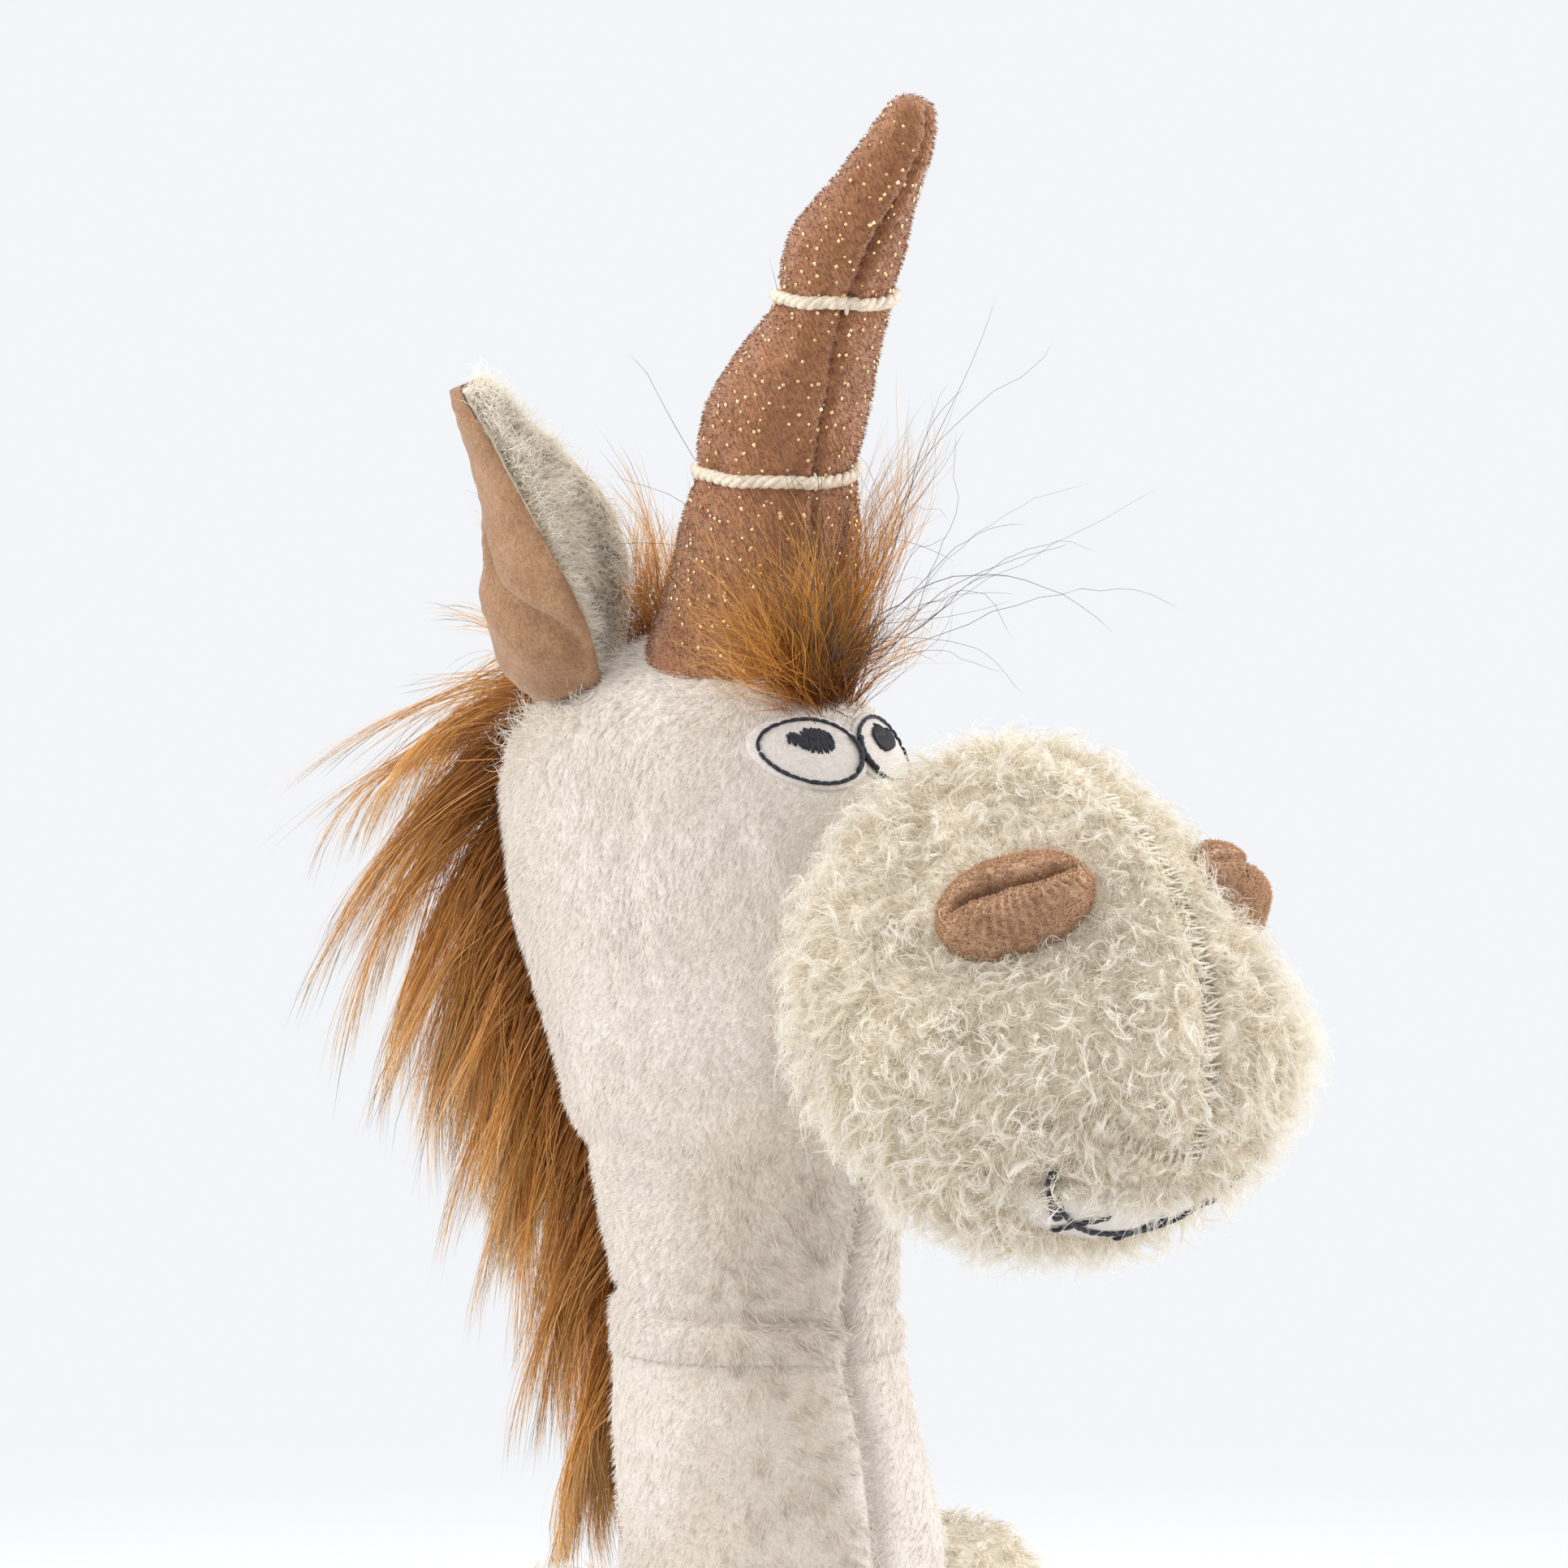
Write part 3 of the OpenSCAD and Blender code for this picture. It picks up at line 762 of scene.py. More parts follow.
def near_path(y, z, path):
    """Distance of each (y, z) from a path of straight runs."""
    best = np.full(y.shape, 1e9)
    for (y0, z0), (y1, z1) in zip(path[:-1], path[1:]):
        dy, dz = y1 - y0, z1 - z0
        t = np.clip(((y - y0) * dy + (z - z0) * dz) / (dy * dy + dz * dz), 0, 1)
        best = np.minimum(best, np.hypot(y - y0 - t * dy, z - z0 - t * dz))
    return best


def skin_relief(points):
    """How far each point of the head and neck stands proud: soft lumps, darts, folds and seams."""
    x, y, z = points.T
    right, left = smooth(-x, 10, 22), smooth(x, 10, 22)
    side = right + left
    lumps = (0.55 * waves(points, 34, 11) + 0.3 * waves(points, 15, 15)) * smooth(z, 203, 216)
    dart = near_path(y, z, [(1, 300), (3, 284), (0, 272), (-4, 260)])
    vee = near_path(y, z, [(5, 288), (12, 280), (19, 273)])
    cheek = near_path(y, z, [(-6, 258), (4, 254), (14, 258)])
    relief = lumps - side * (1.0 * dip(dart, 1.7) + 0.6 * dip(vee, 1.6) + 0.5 * dip(cheek, 2.0))
    ridge = near_path(y, z, [(-4, 300), (-2, 284), (-5, 272), (-9, 261)])
    relief = relief + 0.7 * side * dip(ridge, 3.0)
    front_seam = smooth(-y, 8, 18) * smooth(-z, -238, -228)
    relief = relief - 2.0 * front_seam * dip(x, 1.5) + 0.8 * front_seam * dip(np.abs(x) - 5.5, 3.5)
    collar = 201.5 + 1.5 * np.sin(y / 9) + 0.8 * np.sin(x / 5)
    relief = relief - 1.1 * dip(z - collar, 1.5) + 0.5 * dip(z - collar + 4, 3)
    throat = 231 + 2.0 * np.sin(y / 11 + 1)
    relief = relief - 0.9 * dip(z - throat, 2.2) * side + 0.9 * dip(z - throat - 7, 5) * side
    dent = between(z, 201, 205, 225, 229) * between(y, -7, -4, 12, 22)
    return relief - 0.9 * dent * right


def body_relief(points):
    """How far each point of the torso stands proud: soft lumps, and seams at the front, back and sides."""
    x, y, z = points.T
    lumps = (0.9 * waves(points, 46, 21) + 0.4 * waves(points, 19, 25)) * between(z, 2, 20, 178, 190)
    front_seam = smooth(-y, 10, 20) * smooth(z, 14, 30)
    back_seam = smooth(y, 6, 16) * between(z, 14, 30, 140, 160)
    seam = -1.8 * (front_seam + back_seam) * dip(x, 1.5) + 0.7 * front_seam * dip(np.abs(x) - 5.5, 3.5)
    side_seam = smooth(np.abs(x), 20, 34) * between(z, 8, 20, 130, 150)
    return lumps + seam - 1.0 * side_seam * dip(y - 12, 1.6)


def make_head_skin():
    skin = loft("head_and_upper_neck", oval_rings(spline(HEAD_SECTIONS, 150), 220))
    push(skin, skin_relief(points_of(skin)))
    return skin


def make_body_skin():
    skin = loft("torso_and_lower_neck", oval_rings(spline(BODY_SECTIONS, 170), 200, 2.05))
    push(skin, body_relief(points_of(skin)))
    points = points_of(skin)
    # Nothing of the torso goes below the seat
    points[:, 2] = np.maximum(points[:, 2], 0.25)
    move_points(skin, points)
    return skin


def caster(piece):
    """A function that finds where a line from a point meets the piece: its place and its normal."""
    mesh = piece.data
    tree = BVHTree.FromPolygons([tuple(v.co / MM) for v in mesh.vertices],
                                [tuple(p.vertices) for p in mesh.polygons])

    def cast(origin, direction):
        place, normal, _, _ = tree.ray_cast(Vector(origin), Vector(direction))
        return np.array(place), np.array(normal)

    return cast


# ---- Embroidery and patches ----

def stitch(start, end, normal, width, height):
    """One stitch: a slim pillow from start to end."""
    start, end = np.asarray(start, float), np.asarray(end, float)
    ahead = unit(end - start)
    up = unit(square_to(normal, ahead))
    side = np.cross(up, ahead)
    angle = circle(8)[:, None]
    rings = []
    for t in (0.0, 0.06, 0.25, 0.5, 0.75, 0.94, 1.0):
        swell = math.sqrt(max(1 - (2 * t - 1) ** 4, 0.01))
        arch = height * 0.5 * (1 - (2 * t - 1) ** 2)
        middle = start + (end - start) * t + up * arch
        rings.append(middle + swell * (np.cos(angle) * up * height / 2 + np.sin(angle) * side * width / 2))
    return np.array(rings)


def stitched(name, rows):
    """A piece made of many stitches, each row (start, end, normal, width, height)."""
    points, quads, triangles, count = [], [], [], 0
    for row in rows:
        rings = stitch(*row)
        ring_count, cols = rings.shape[:2]
        points.append(rings.reshape(-1, 3))
        quads.append(grid_quads(ring_count, cols, True)[:, ::-1] + count)
        for base, order in ((0, 1), ((ring_count - 1) * cols, -1)):
            fan = np.array([[0, k, k + 1] for k in range(1, cols - 1)])
            triangles.append(fan[:, ::order] + base + count)
        count += ring_count * cols
    return new_piece(name, np.concatenate(points), np.concatenate(quads), np.concatenate(triangles))


def line_of_stitches(line, normals, step, width, height, rng, overlap=0.25):
    """Stitches end to end along a line of points."""
    line = np.asarray(line)
    gaps = np.linalg.norm(np.diff(line, axis=0), axis=1)
    run = np.concatenate([[0], np.cumsum(gaps)])
    count = max(int(round(run[-1] / step)), 1)
    edges = np.linspace(0, run[-1], count + 1)
    rows = []
    for a, b in zip(edges[:-1], edges[1:]):
        reach = (b - a) * overlap
        ends = [np.array([np.interp(s, run, line[:, k]) for k in range(3)]) for s in (a - reach, b + reach)]
        middle = np.array([np.interp((a + b) / 2, run, normals[:, k]) for k in range(3)])
        jitter = rng.normal(0, 0.07, 3)
        thick = rng.uniform(0.85, 1.15)
        rows.append((ends[0] + jitter, ends[1] - jitter, unit(middle), width * thick, height))
    return rows


def patch(name, outline, onto, thickness):
    """A felt patch with a rounded edge. outline is flat points, and onto turns one into (place, normal)."""
    outline = np.asarray(outline)
    centre = outline.mean(0)
    profile = [(0.02, 1.0), (0.35, 1.0), (0.65, 1.0), (0.85, 1.0), (0.94, 0.9), (0.985, 0.6), (1.0, 0.1),
               (1.0, -0.6)]
    rings = []
    for share, rise in profile:
        ring = []
        for point in outline:
            place, normal = onto(centre + (point - centre) * share)
            ring.append(place + normal * thickness * rise)
        rings.append(ring)
    return loft(name, np.array(rings)[::-1])


def arc(width, height, count, start=0.0, end=360.0, centre=(0.0, 0.0)):
    """Flat points along an ellipse of that width and height, from one angle in degrees to another."""
    angle = np.radians(np.linspace(start, end, count, endpoint=end - start < 360))
    return np.stack([centre[0] + width / 2 * np.cos(angle), centre[1] + height / 2 * np.sin(angle)], -1)


def raised(onto, points, height):
    """Places that stand that far proud of where onto puts the points, and the normals there."""
    places, normals = apart([onto(point) for point in points])
    return places + normals * height, normals


eye_low, eye_high = node_box("left_eye_patch")
# The left eye sits a little over the right one, where they meet
LEFT_EYE_IN = 1.3
# How far the eyes' threads stand over the face
THREAD_LIFT = 0.7
EYE_X, EYE_Z = (eye_low[0] + eye_high[0]) / 2, (eye_low[2] + eye_high[2]) / 2
EYE_W, EYE_H = eye_high[0] - eye_low[0], eye_high[2] - eye_low[2]


def on_face(cast, side):
    """Turns a flat point, seen from the front with x outwards from the face's middle, into a place."""
    centre = EYE_X - (LEFT_EYE_IN if side > 0 else 0)

    def onto(point):
        return cast((side * (centre + point[0]), -200, EYE_Z + point[1]), BACKWARD)

    return onto


def make_eye(side, cast):
    prefix = SIDE_NAMES[side]
    rng = np.random.default_rng(40 + side)
    onto = on_face(cast, side)
    outline = arc(EYE_W + 2.0, EYE_H + 2.0, 48)
    felt = patch(f"{prefix}_eye_felt", outline[:: side], onto, 0.65 - 0.1 * side)
    finish_piece(felt, "felt", "felt", "head", f"{prefix}_eye_patch")
    line, normals = raised(onto, arc(EYE_W - 0.6, EYE_H - 0.4, 90), THREAD_LIFT)
    closed = np.concatenate([line, line[:1]]), np.concatenate([normals, normals[:1]])
    rows = line_of_stitches(*closed, 2.0, 0.82, 0.6, rng, 0.16)
    # A heavier stroke where the two eyes meet at the nose
    inner, inner_normals = raised(onto, arc(EYE_W - 1.2, EYE_H - 1.4, 24, 150, 225), 0.95)
    rows += line_of_stitches(inner, inner_normals, 1.5, 1.1, 0.7, rng)
    finish_piece(stitched(f"{prefix}_eye_stitching", rows), "thread", "thread", "head",
                 f"{prefix}_eye_outline")

    # Satin fill: upright stitches side by side, with a small notch in the top edge on its outer side
    rows = []
    for x in np.arange(-3.6, 3.7, 0.34):
        half = 2.4 * math.sqrt(max(1 - abs(x / 3.8) ** 2.6, 0.05))
        top = 2.1 + half - 1.3 * math.exp(-((x - 1.7) / 0.7) ** 2)
        low = 2.1 - half * (0.95 - 0.08 * x)
        for base, end in ((low, (low + top) / 2 + 0.3), ((low + top) / 2 - 0.3, top)):
            flat = np.array([(x + 0.4, base), (x + 0.4, end)]) + rng.normal(0, 0.12, (2, 2))
            ends, up = raised(onto, flat, THREAD_LIFT)
            rows.append((ends[0], ends[1], up[0], 0.6, 0.55))
    finish_piece(stitched(f"{prefix}_pupil_stitching", rows), "thread", "thread", "head", f"{prefix}_pupil")


# ---- Muzzle ----

# The muzzle is a ball that is flatter round its nostrils and fuller at each side of its chin
FLATTER = unit(np.array([0.62, -0.50, 0.60]))
FULLER = unit(np.array([0.55, -0.62, -0.55]))


def muzzle_reach(directions):
    """Radius of the muzzle in each direction from its centre."""
    outward = np.sqrt(directions[..., 0] ** 2 + 0.02)
    folded = unit(np.stack([outward, directions[..., 1], directions[..., 2]], -1))
    flat = smooth(folded @ FLATTER, 0.60, 0.99)
    full = smooth(folded @ FULLER, 0.50, 0.99)
    return MUZZLE_R * (1 - 0.17 * flat + 0.06 * full)


def from_muzzle(left, up, down):
    """The place on the muzzle, and its normal, that far to the toy's left and up from a centre that many
    degrees down from its front."""
    tilt = math.radians(down)
    ahead = np.array([0, -math.cos(tilt), -math.sin(tilt)])
    above = np.array([0, -math.sin(tilt), math.cos(tilt)])
    reach = math.hypot(left, up)
    angle = reach / MUZZLE_R
    heading = (left * LEFTWARD + up * above) / max(reach, 1e-6)
    normal = math.cos(angle) * ahead + math.sin(angle) * heading
    return MUZZLE + muzzle_reach(normal) * normal, normal


MOUTH_DOWN = 51
# Where the muzzle meets the head
MUZZLE_BACK = -45.5
CHIN_SEAM_Z = MUZZLE[2] - 27


def muzzle_seams(points, width):
    """How near each point is to the muzzle's seams, from 0 to 1: a middle seam and one above the chin."""
    x, y, z = points.T
    wander = 1.2 * np.sin(z / 9)
    middle = dip(x - wander, width) * smooth(-y, 70, 84) * smooth(z, CHIN_SEAM_Z - 3, CHIN_SEAM_Z + 2)
    chin = dip(z - CHIN_SEAM_Z - 0.02 * x * x, width) * smooth(-np.abs(x), -26, -16) * smooth(-y, 84, 96)
    return np.maximum(middle, chin)


def make_muzzle():
    angle = circle(210)
    # Rings round the Y axis from the flat back to the front
    bottom = math.acos((MUZZLE[1] - MUZZLE_BACK) / MUZZLE_R)
    polar = np.linspace(bottom, 0.012, 150)[:, None]
    r = MUZZLE_R * np.sin(polar)
    y = MUZZLE[1] - MUZZLE_R * np.cos(polar) + 0 * angle
    rings = np.stack([r * np.cos(angle), y, MUZZLE[2] + r * np.sin(angle)], -1)
    directions = unit(rings - MUZZLE)
    muzzle = loft("muzzle", rings + directions * (muzzle_reach(directions) - MUZZLE_R)[..., None])
    points = points_of(muzzle)
    lumps = 0.6 * waves(points, 26, 51) + 0.3 * waves(points, 11, 55)
    push(muzzle, lumps - 1.9 * muzzle_seams(points, 2.0))
    return muzzle


def make_muzzle_seams():
    """Flat threads that lie across the middle seam and the one above the chin."""
    rng = np.random.default_rng(57)
    rows = []

    def across(direction, ahead, half):
        ahead = unit(np.array(ahead))
        place = MUZZLE + (muzzle_reach(direction) - 0.9) * direction
        shift = rng.normal(0, 0.4, 3)
        rows.append((place - half * ahead + shift, place + half * ahead + shift, direction,
                     rng.uniform(0.25, 0.6), 0.7))

    for lift in np.radians(np.arange(68, -36, -0.7)):
        z = MUZZLE_R * math.sin(lift)
        x = 1.2 * math.sin((MUZZLE[2] + z) / 9)
        direction = unit(np.array([x / MUZZLE_R, -math.cos(lift), math.sin(lift)]))
        across(direction, [1.0, 0, 0.25 * rng.normal()], rng.uniform(1.8, 3.4))
    for x in np.arange(-19, 19, 0.6):
        z = CHIN_SEAM_Z + 0.02 * x * x - MUZZLE[2]
        direction = unit(np.array([x, -math.sqrt(MUZZLE_R ** 2 - x * x - z * z), z]))
        across(direction, [0.2 * rng.normal(), -direction[2], direction[1]], rng.uniform(1.2, 2.2))
    finish_piece(stitched("muzzle_seam_threads", rows), "seam_thread", "curly_plush", "head")


def nostril_frame(side):
    """Place, and the left, up and out directions, of a nostril on the muzzle."""
    aside, lift, tilt = 52.5, 29, 22
    axes = turned(2, side * aside) @ turned(0, 90 - lift) @ turned(2, -side * tilt)
    return MUZZLE + axes[:, 2] * muzzle_reach(axes[:, 2]), axes[:, 0], axes[:, 1], axes[:, 2]


def make_nostril(side):
    """A stuffed terry pad, pinched along a fold that runs from its middle up to its inner corner."""
    prefix = SIDE_NAMES[side]
    centre, left, up, out = nostril_frame(side)
    inward = -side * left
    angle = circle(220)
    polar = np.linspace(0.02, np.pi - 0.02, 110)[::-1, None]
    u = np.sin(polar) * np.cos(angle)
    v = np.sin(polar) * np.sin(angle)
    w = np.cos(polar) + 0 * angle
    u = np.sign(u) * np.abs(u) ** np.where(u > 0, 0.8, 1.0)
    a, b = 14.5 * u, 9.4 * v * (1 - 0.12 * u)
    # The fold is a line across the pad, a little above its middle
    fold = b - 1.4 - 0.10 * a + 1.2 * np.sin(a / 4.5)
    front = smooth(w, 0.0, 0.5)
    pinch = front * (smooth(a, -13, -8) * 3.4 * dip(fold, 1.2) + 2.2 * dip(np.hypot(a + 3, fold), 2.4))
    bulge = front * (1.7 * dip(fold + 5, 4.0) + 0.7 * dip(fold - 3.5, 2.3))
    # Ribs fan out from above the pad
    wales = 0.2 * front * np.cos(58 * np.arctan2(a - 1, 11 - b)) * smooth(-fold, 0, 1.5)
    height = 6.5 * w + bulge - pinch + wales
    flat = np.stack([a, b, 7 * w], -1)
    height = height + 0.25 * waves(flat, 5, 61) + 0.22 * waves(flat, 1.3, 63)
    rings = centre + a[..., None] * inward + b[..., None] * up + height[..., None] * out
    pad = loft(f"{prefix}_nostril_pad", rings[:, ::-1] if side > 0 else rings)
    finish_piece(pad, "velour", "tan_velour", "head", f"{prefix}_nostril")
    rng = np.random.default_rng(66 + side)

    roots, normals = scatter(pad, 12000, 67 + side, lambda places: (places - centre) @ out > -1.5)
    ends = unit(normals + 0.7 * rng.normal(size=normals.shape))
    lines = strands(roots, normals, ends, rng.uniform(0.4, 0.9, len(roots)), 3, rng)
    grow(f"{prefix}_nostril_pile", lines, 0.26, rng, "velour_pile", "tan_velour", "head", 0.5, normals)


def make_mouth():
    """A felt patch with a wide smile, a heavy stroke at each corner and two stitches that cross it."""
    rng = np.random.default_rng(71)

    def onto(point):
        return from_muzzle(*point, MOUTH_DOWN)

    outline = arc(54, 20, 48, centre=(0.0, -4.5))[::-1]
    felt = patch("mouth_felt", outline, onto, 1.0)
    finish_piece(felt, "felt", "felt", "head", "mouth_patch")
    t = np.linspace(-1, 1, 40)
    smile, normals = raised(onto, np.stack([24.5 * t, -9.6 + 13.6 * np.abs(t) ** 2.6], -1), 1.15)
    rows = line_of_stitches(smile, normals, 2.2, 1.15, 0.8, rng)
    for side in (-1, 1):
        corner = [(24.6 * side, 4.6), (23.0 * side, 1.0), (20.0 * side, -3.4), (16.8 * side, -6.2)]
        corner, up = raised(onto, corner, 1.5)
        rows += line_of_stitches(corner, up, 2.6, 1.9, 1.1, rng, 0.5)
    for start, end in (((-16.0, -10.4), (-9.0, -2.2)), ((-0.6, -12.6), (5.4, -3.4))):
        cross, up = raised(onto, [start, end], 1.5)
        rows += line_of_stitches(cross, up, 2.4, 1.1, 0.8, rng)
    finish_piece(stitched("mouth_embroidery", rows), "thread", "thread", "head", "mouth_stitching")


def muzzle_cover(places):
    """1 where the muzzle has pile and 0 under the nostrils and the mouth patch."""
    cover = np.ones(len(places))
    for side in (-1, 1):
        centre, left, up, out = nostril_frame(side)
        away = places - centre
        cover *= (np.hypot(away @ left / 13.6, away @ up / 8.6) > 1) | (away @ out < -12)
    centre, normal = from_muzzle(0, 0, MOUTH_DOWN)
    above = np.cross(normal, [1.0, 0, 0])
    away = places - centre
    return cover * ((np.hypot(away[:, 0] / 23.5, (away @ above + 5.6) / 7.0) > 1) | (away @ normal < -20))


def make_muzzle_pile(muzzle):
    rng = np.random.default_rng(80)

    def keep(places):
        return muzzle_cover(places) * (places[:, 1] < MUZZLE_BACK) * (1 - 0.4 * muzzle_seams(places, 0.9))

    def comb(places, normals):
        flow = wavy_vectors(places, 16, 82) + 0.8 * rng.normal(size=places.shape) - 0.35 * UP
        flow = square_to(flow, normals)
        seam = muzzle_seams(places, 3.6)[:, None]
        across = np.sign(places[:, :1]) * LEFTWARD + 0.25 * rng.normal(size=places.shape)
        return unit(flow) * (1 - seam) + across * seam * 1.6

    def cropped(places):
        """Shorter pile beside the seams and on the flatter part round the nostrils."""
        outward = unit(places - MUZZLE)
        outward[:, 0] = np.abs(outward[:, 0])
        return (1 - 0.6 * muzzle_seams(places, 3.8)) * (1 - 0.3 * smooth(outward @ FLATTER, 0.6, 0.95))

    # A thick soft underlayer
    roots, normals = scatter(muzzle, 34000, 81, keep)
    flat = comb(roots, normals)
    starts = unit(normals + 0.5 * flat)
    ends = unit(0.35 * normals + flat)
    lengths = rng.uniform(2.4, 4.6, len(roots)) * cropped(roots)
    lines = strands(roots, starts, ends, lengths, 4, rng, 0.5, 0.8)
    # It takes the darker copy of the curly pile, painted shade for the depth of the pile
    grow("muzzle_underpile", lines, 0.26, rng, "shaded_curly_underpile", "curly_plush", "head")

    # Wisps of a few strands each, and loose curls, that stand out of it
    for name, count, seed, per_wisp, spread, longest, curliest in (
            ("muzzle_wisps", 3400, 86, 9, 0.9, 11.0, 1.7), ("muzzle_curls", 5200, 88, 1, 0.0, 13.5, 2.4)):
        roots, normals = scatter(muzzle, count, seed, keep)
        flat = comb(roots, normals)
        starts = unit(normals + 0.3 * flat)
        ends = unit(0.1 * normals + flat - 0.3 * UP)
        lengths = rng.uniform(5.5, longest, len(roots)) * cropped(roots)
        curl = rng.uniform(0.4, curliest, len(roots)) * cropped(roots)
        lines = locks(roots, starts, ends, lengths, rng, per_wisp, spread, 0.35 * spread, steps=7,
                      wobble=0.25, curl=curl, turns=1.2)
        grow(name, lines, 0.18, rng, "curly_pile", "curly_plush", "head")


# ---- Short pile ----

def off_the_face(places):
    """1 where the head's skin has pile: not under the eyes, the muzzle, the horn or inside the neck."""
    x, y, z = places.T
    eyes = np.hypot((np.abs(x) - EYE_X) / (EYE_W / 2 + 0.9), (z - EYE_Z) / (EYE_H / 2 + 0.9)) > 1
    clear = eyes | (y > 0)
    clear &= np.linalg.norm(places - MUZZLE, axis=1) > MUZZLE_R - 1
    clear &= np.linalg.norm(places - HORN_ROOT, axis=1) > 15
    return clear * (z > 192.2)


def combed(places, normals):
    """Which way the short pile lies: down and back, in combed patches, and towards the front seam."""
    x, y, z = places.T
    flow = -0.9 * UP + 0.7 * BACKWARD + 0.7 * wavy_vectors(places, 34, 91)
    inwards = -np.sign(x) * smooth(-np.abs(x), -26, -14) * smooth(-y, 5, 15) * smooth(-z, -236, -222) * 0.9
    flow = flow + inwards[:, None] * LEFTWARD
    return unit(square_to(flow, normals))


def make_short_pile(name, skin, count, seed, body, keep):
    """The short plush of a skin, where keep says, and longer tufts on the neck's front."""
    rng = np.random.default_rng(seed)
    roots, normals = scatter(skin, count, seed, keep)
    flat = unit(combed(roots, normals) + 0.16 * rng.normal(size=roots.shape))
    starts = unit(0.6 * normals + flat)
    ends = unit(0.06 * normals + flat)
    lengths = rng.uniform(1.7, 3.1, len(roots))
    lines = strands(roots - PILE_SINK * normals, starts, ends, lengths, 3, rng, 0.15, 0.5)
    grow(name, lines, 0.19, rng, "plush_pile", "cream_plush", body, 0.3, normals)

    # The tufts are on the right half only
    def on_the_front(places):
        x, y, z = places.T
        part = smooth(-y, 8, 18) * between(x, -27, -16, -2, 1) * between(z, 135, 150, 224, 240)
        return keep(places) * part

    roots, normals = scatter(skin, 5000, seed + 1, on_the_front)
    flat = unit(combed(roots, normals) + 0.12 * rng.normal(size=roots.shape))
    lines = locks(roots - PILE_SINK * normals, unit(0.3 * normals + flat), unit(0.05 * normals + flat),
                  rng.uniform(3.2, 5.4, len(roots)), rng, 12, 0.9, 0.35, steps=4, wobble=0.15)
    grow(f"{name}_tufts", lines, 0.17, rng, "plush_pile", "cream_plush", body, 0.3)


# ---- Horn ----

# Rows of distance along the horn, radius, bow backwards, bow to the toy's left, and where round it the
# seam is, in degrees
HORN_SHAPE = [
    (-8, 19.6, 0.0, 0.0, -98), (0, 18.9, 0.2, 0.0, -98), (9, 18.1, 0.8, -0.2, -98),
    (20, 17.2, 2.6, -0.8, -99), (29, 16.2, 4.4, -1.6, -100), (35, 14.6, 5.4, -2.0, -100),
    (40, 15.5, 6.4, -2.2, -101), (47, 15.5, 7.0, -2.5, -103), (54, 14.6, 6.6, -2.3, -106),
    (62, 12.7, 5.4, -1.9, -113), (68, 11.2, 4.4, -1.5, -119), (72, 10.5, 4.1, -1.4, -119),
    (76, 11.3, 4.5, -1.6, -115), (84, 11.0, 4.8, -1.7, -106), (91, 9.5, 3.8, -1.4, -97),
    (98, 7.4, 2.0, -0.7, -91), (106, 5.9, 0.5, -0.2, -88), (111, 4.8, 0.1, 0.0, -86),
    (113.4, 3.2, 0.0, 0.0, -85), (114.3, 0.9, 0.0, 0.0, -85),
]
LOWER_CORD, UPPER_CORD = 35.0, 72.0
# The share of the glitter's places that are left empty
GLITTER_GAPS = 0.34
# The cords lie nearly level, a little lower towards the toy's right front
CORD_PLANE = unit(UP + 0.2 * np.array([-0.643, -0.766, 0]))
HORN_TURN = turned(0, HORN_LEAN)


def horn_ring(row, angle):
    """Points round the horn at one row of its shape, and the outward direction of each."""
    t, r, back, left, seam = row
    level = smooth(t, 6, 28) * (1 - smooth(t, 84, 108))
    ahead = unit(HORN_TURN[:, 2] * (1 - level) + CORD_PLANE * level)
    across = unit(square_to(LEFTWARD, ahead))
    other = np.cross(ahead, across)
    centre = HORN_ROOT + HORN_TURN @ np.array([left, back, t])
    out = np.cos(angle)[:, None] * across + np.sin(angle)[:, None] * other
    from_seam = (angle - math.radians(seam) + np.pi) % (2 * np.pi) - np.pi
    groove = dip(from_seam * r, 1.0) * (0.8 + 0.3 * math.sin(t * 1.9))
    beside = dip(np.abs(from_seam * r) - 2.2, 1.4) * (0.35 + 0.3 * math.sin(t * 1.9 + 1))
    gathers = 0.32 * np.cos(11 * angle + 1.3 * np.sin(3 * angle))
    near_cord = math.exp(-((t - LOWER_CORD) / 6) ** 2) + math.exp(-((t - UPPER_CORD) / 5) ** 2)
    swell = r + gathers * near_cord - min(r / 8, 1) * (groove - beside)
    return centre + swell[:, None] * out, out


def make_horn():
    rows = spline(HORN_SHAPE, 230)
    angle = np.linspace(-np.pi, np.pi, 180, endpoint=False)
    horn = loft("horn", np.array([horn_ring(row, angle)[0] for row in rows]))
    push(horn, 0.45 * waves(points_of(horn), 15, 101) + 0.2 * waves(points_of(horn), 6, 105))
    return horn, rows


def horn_row_at(rows, t):
    return np.array([np.interp(t, rows[:, 0], column) for column in rows.T])


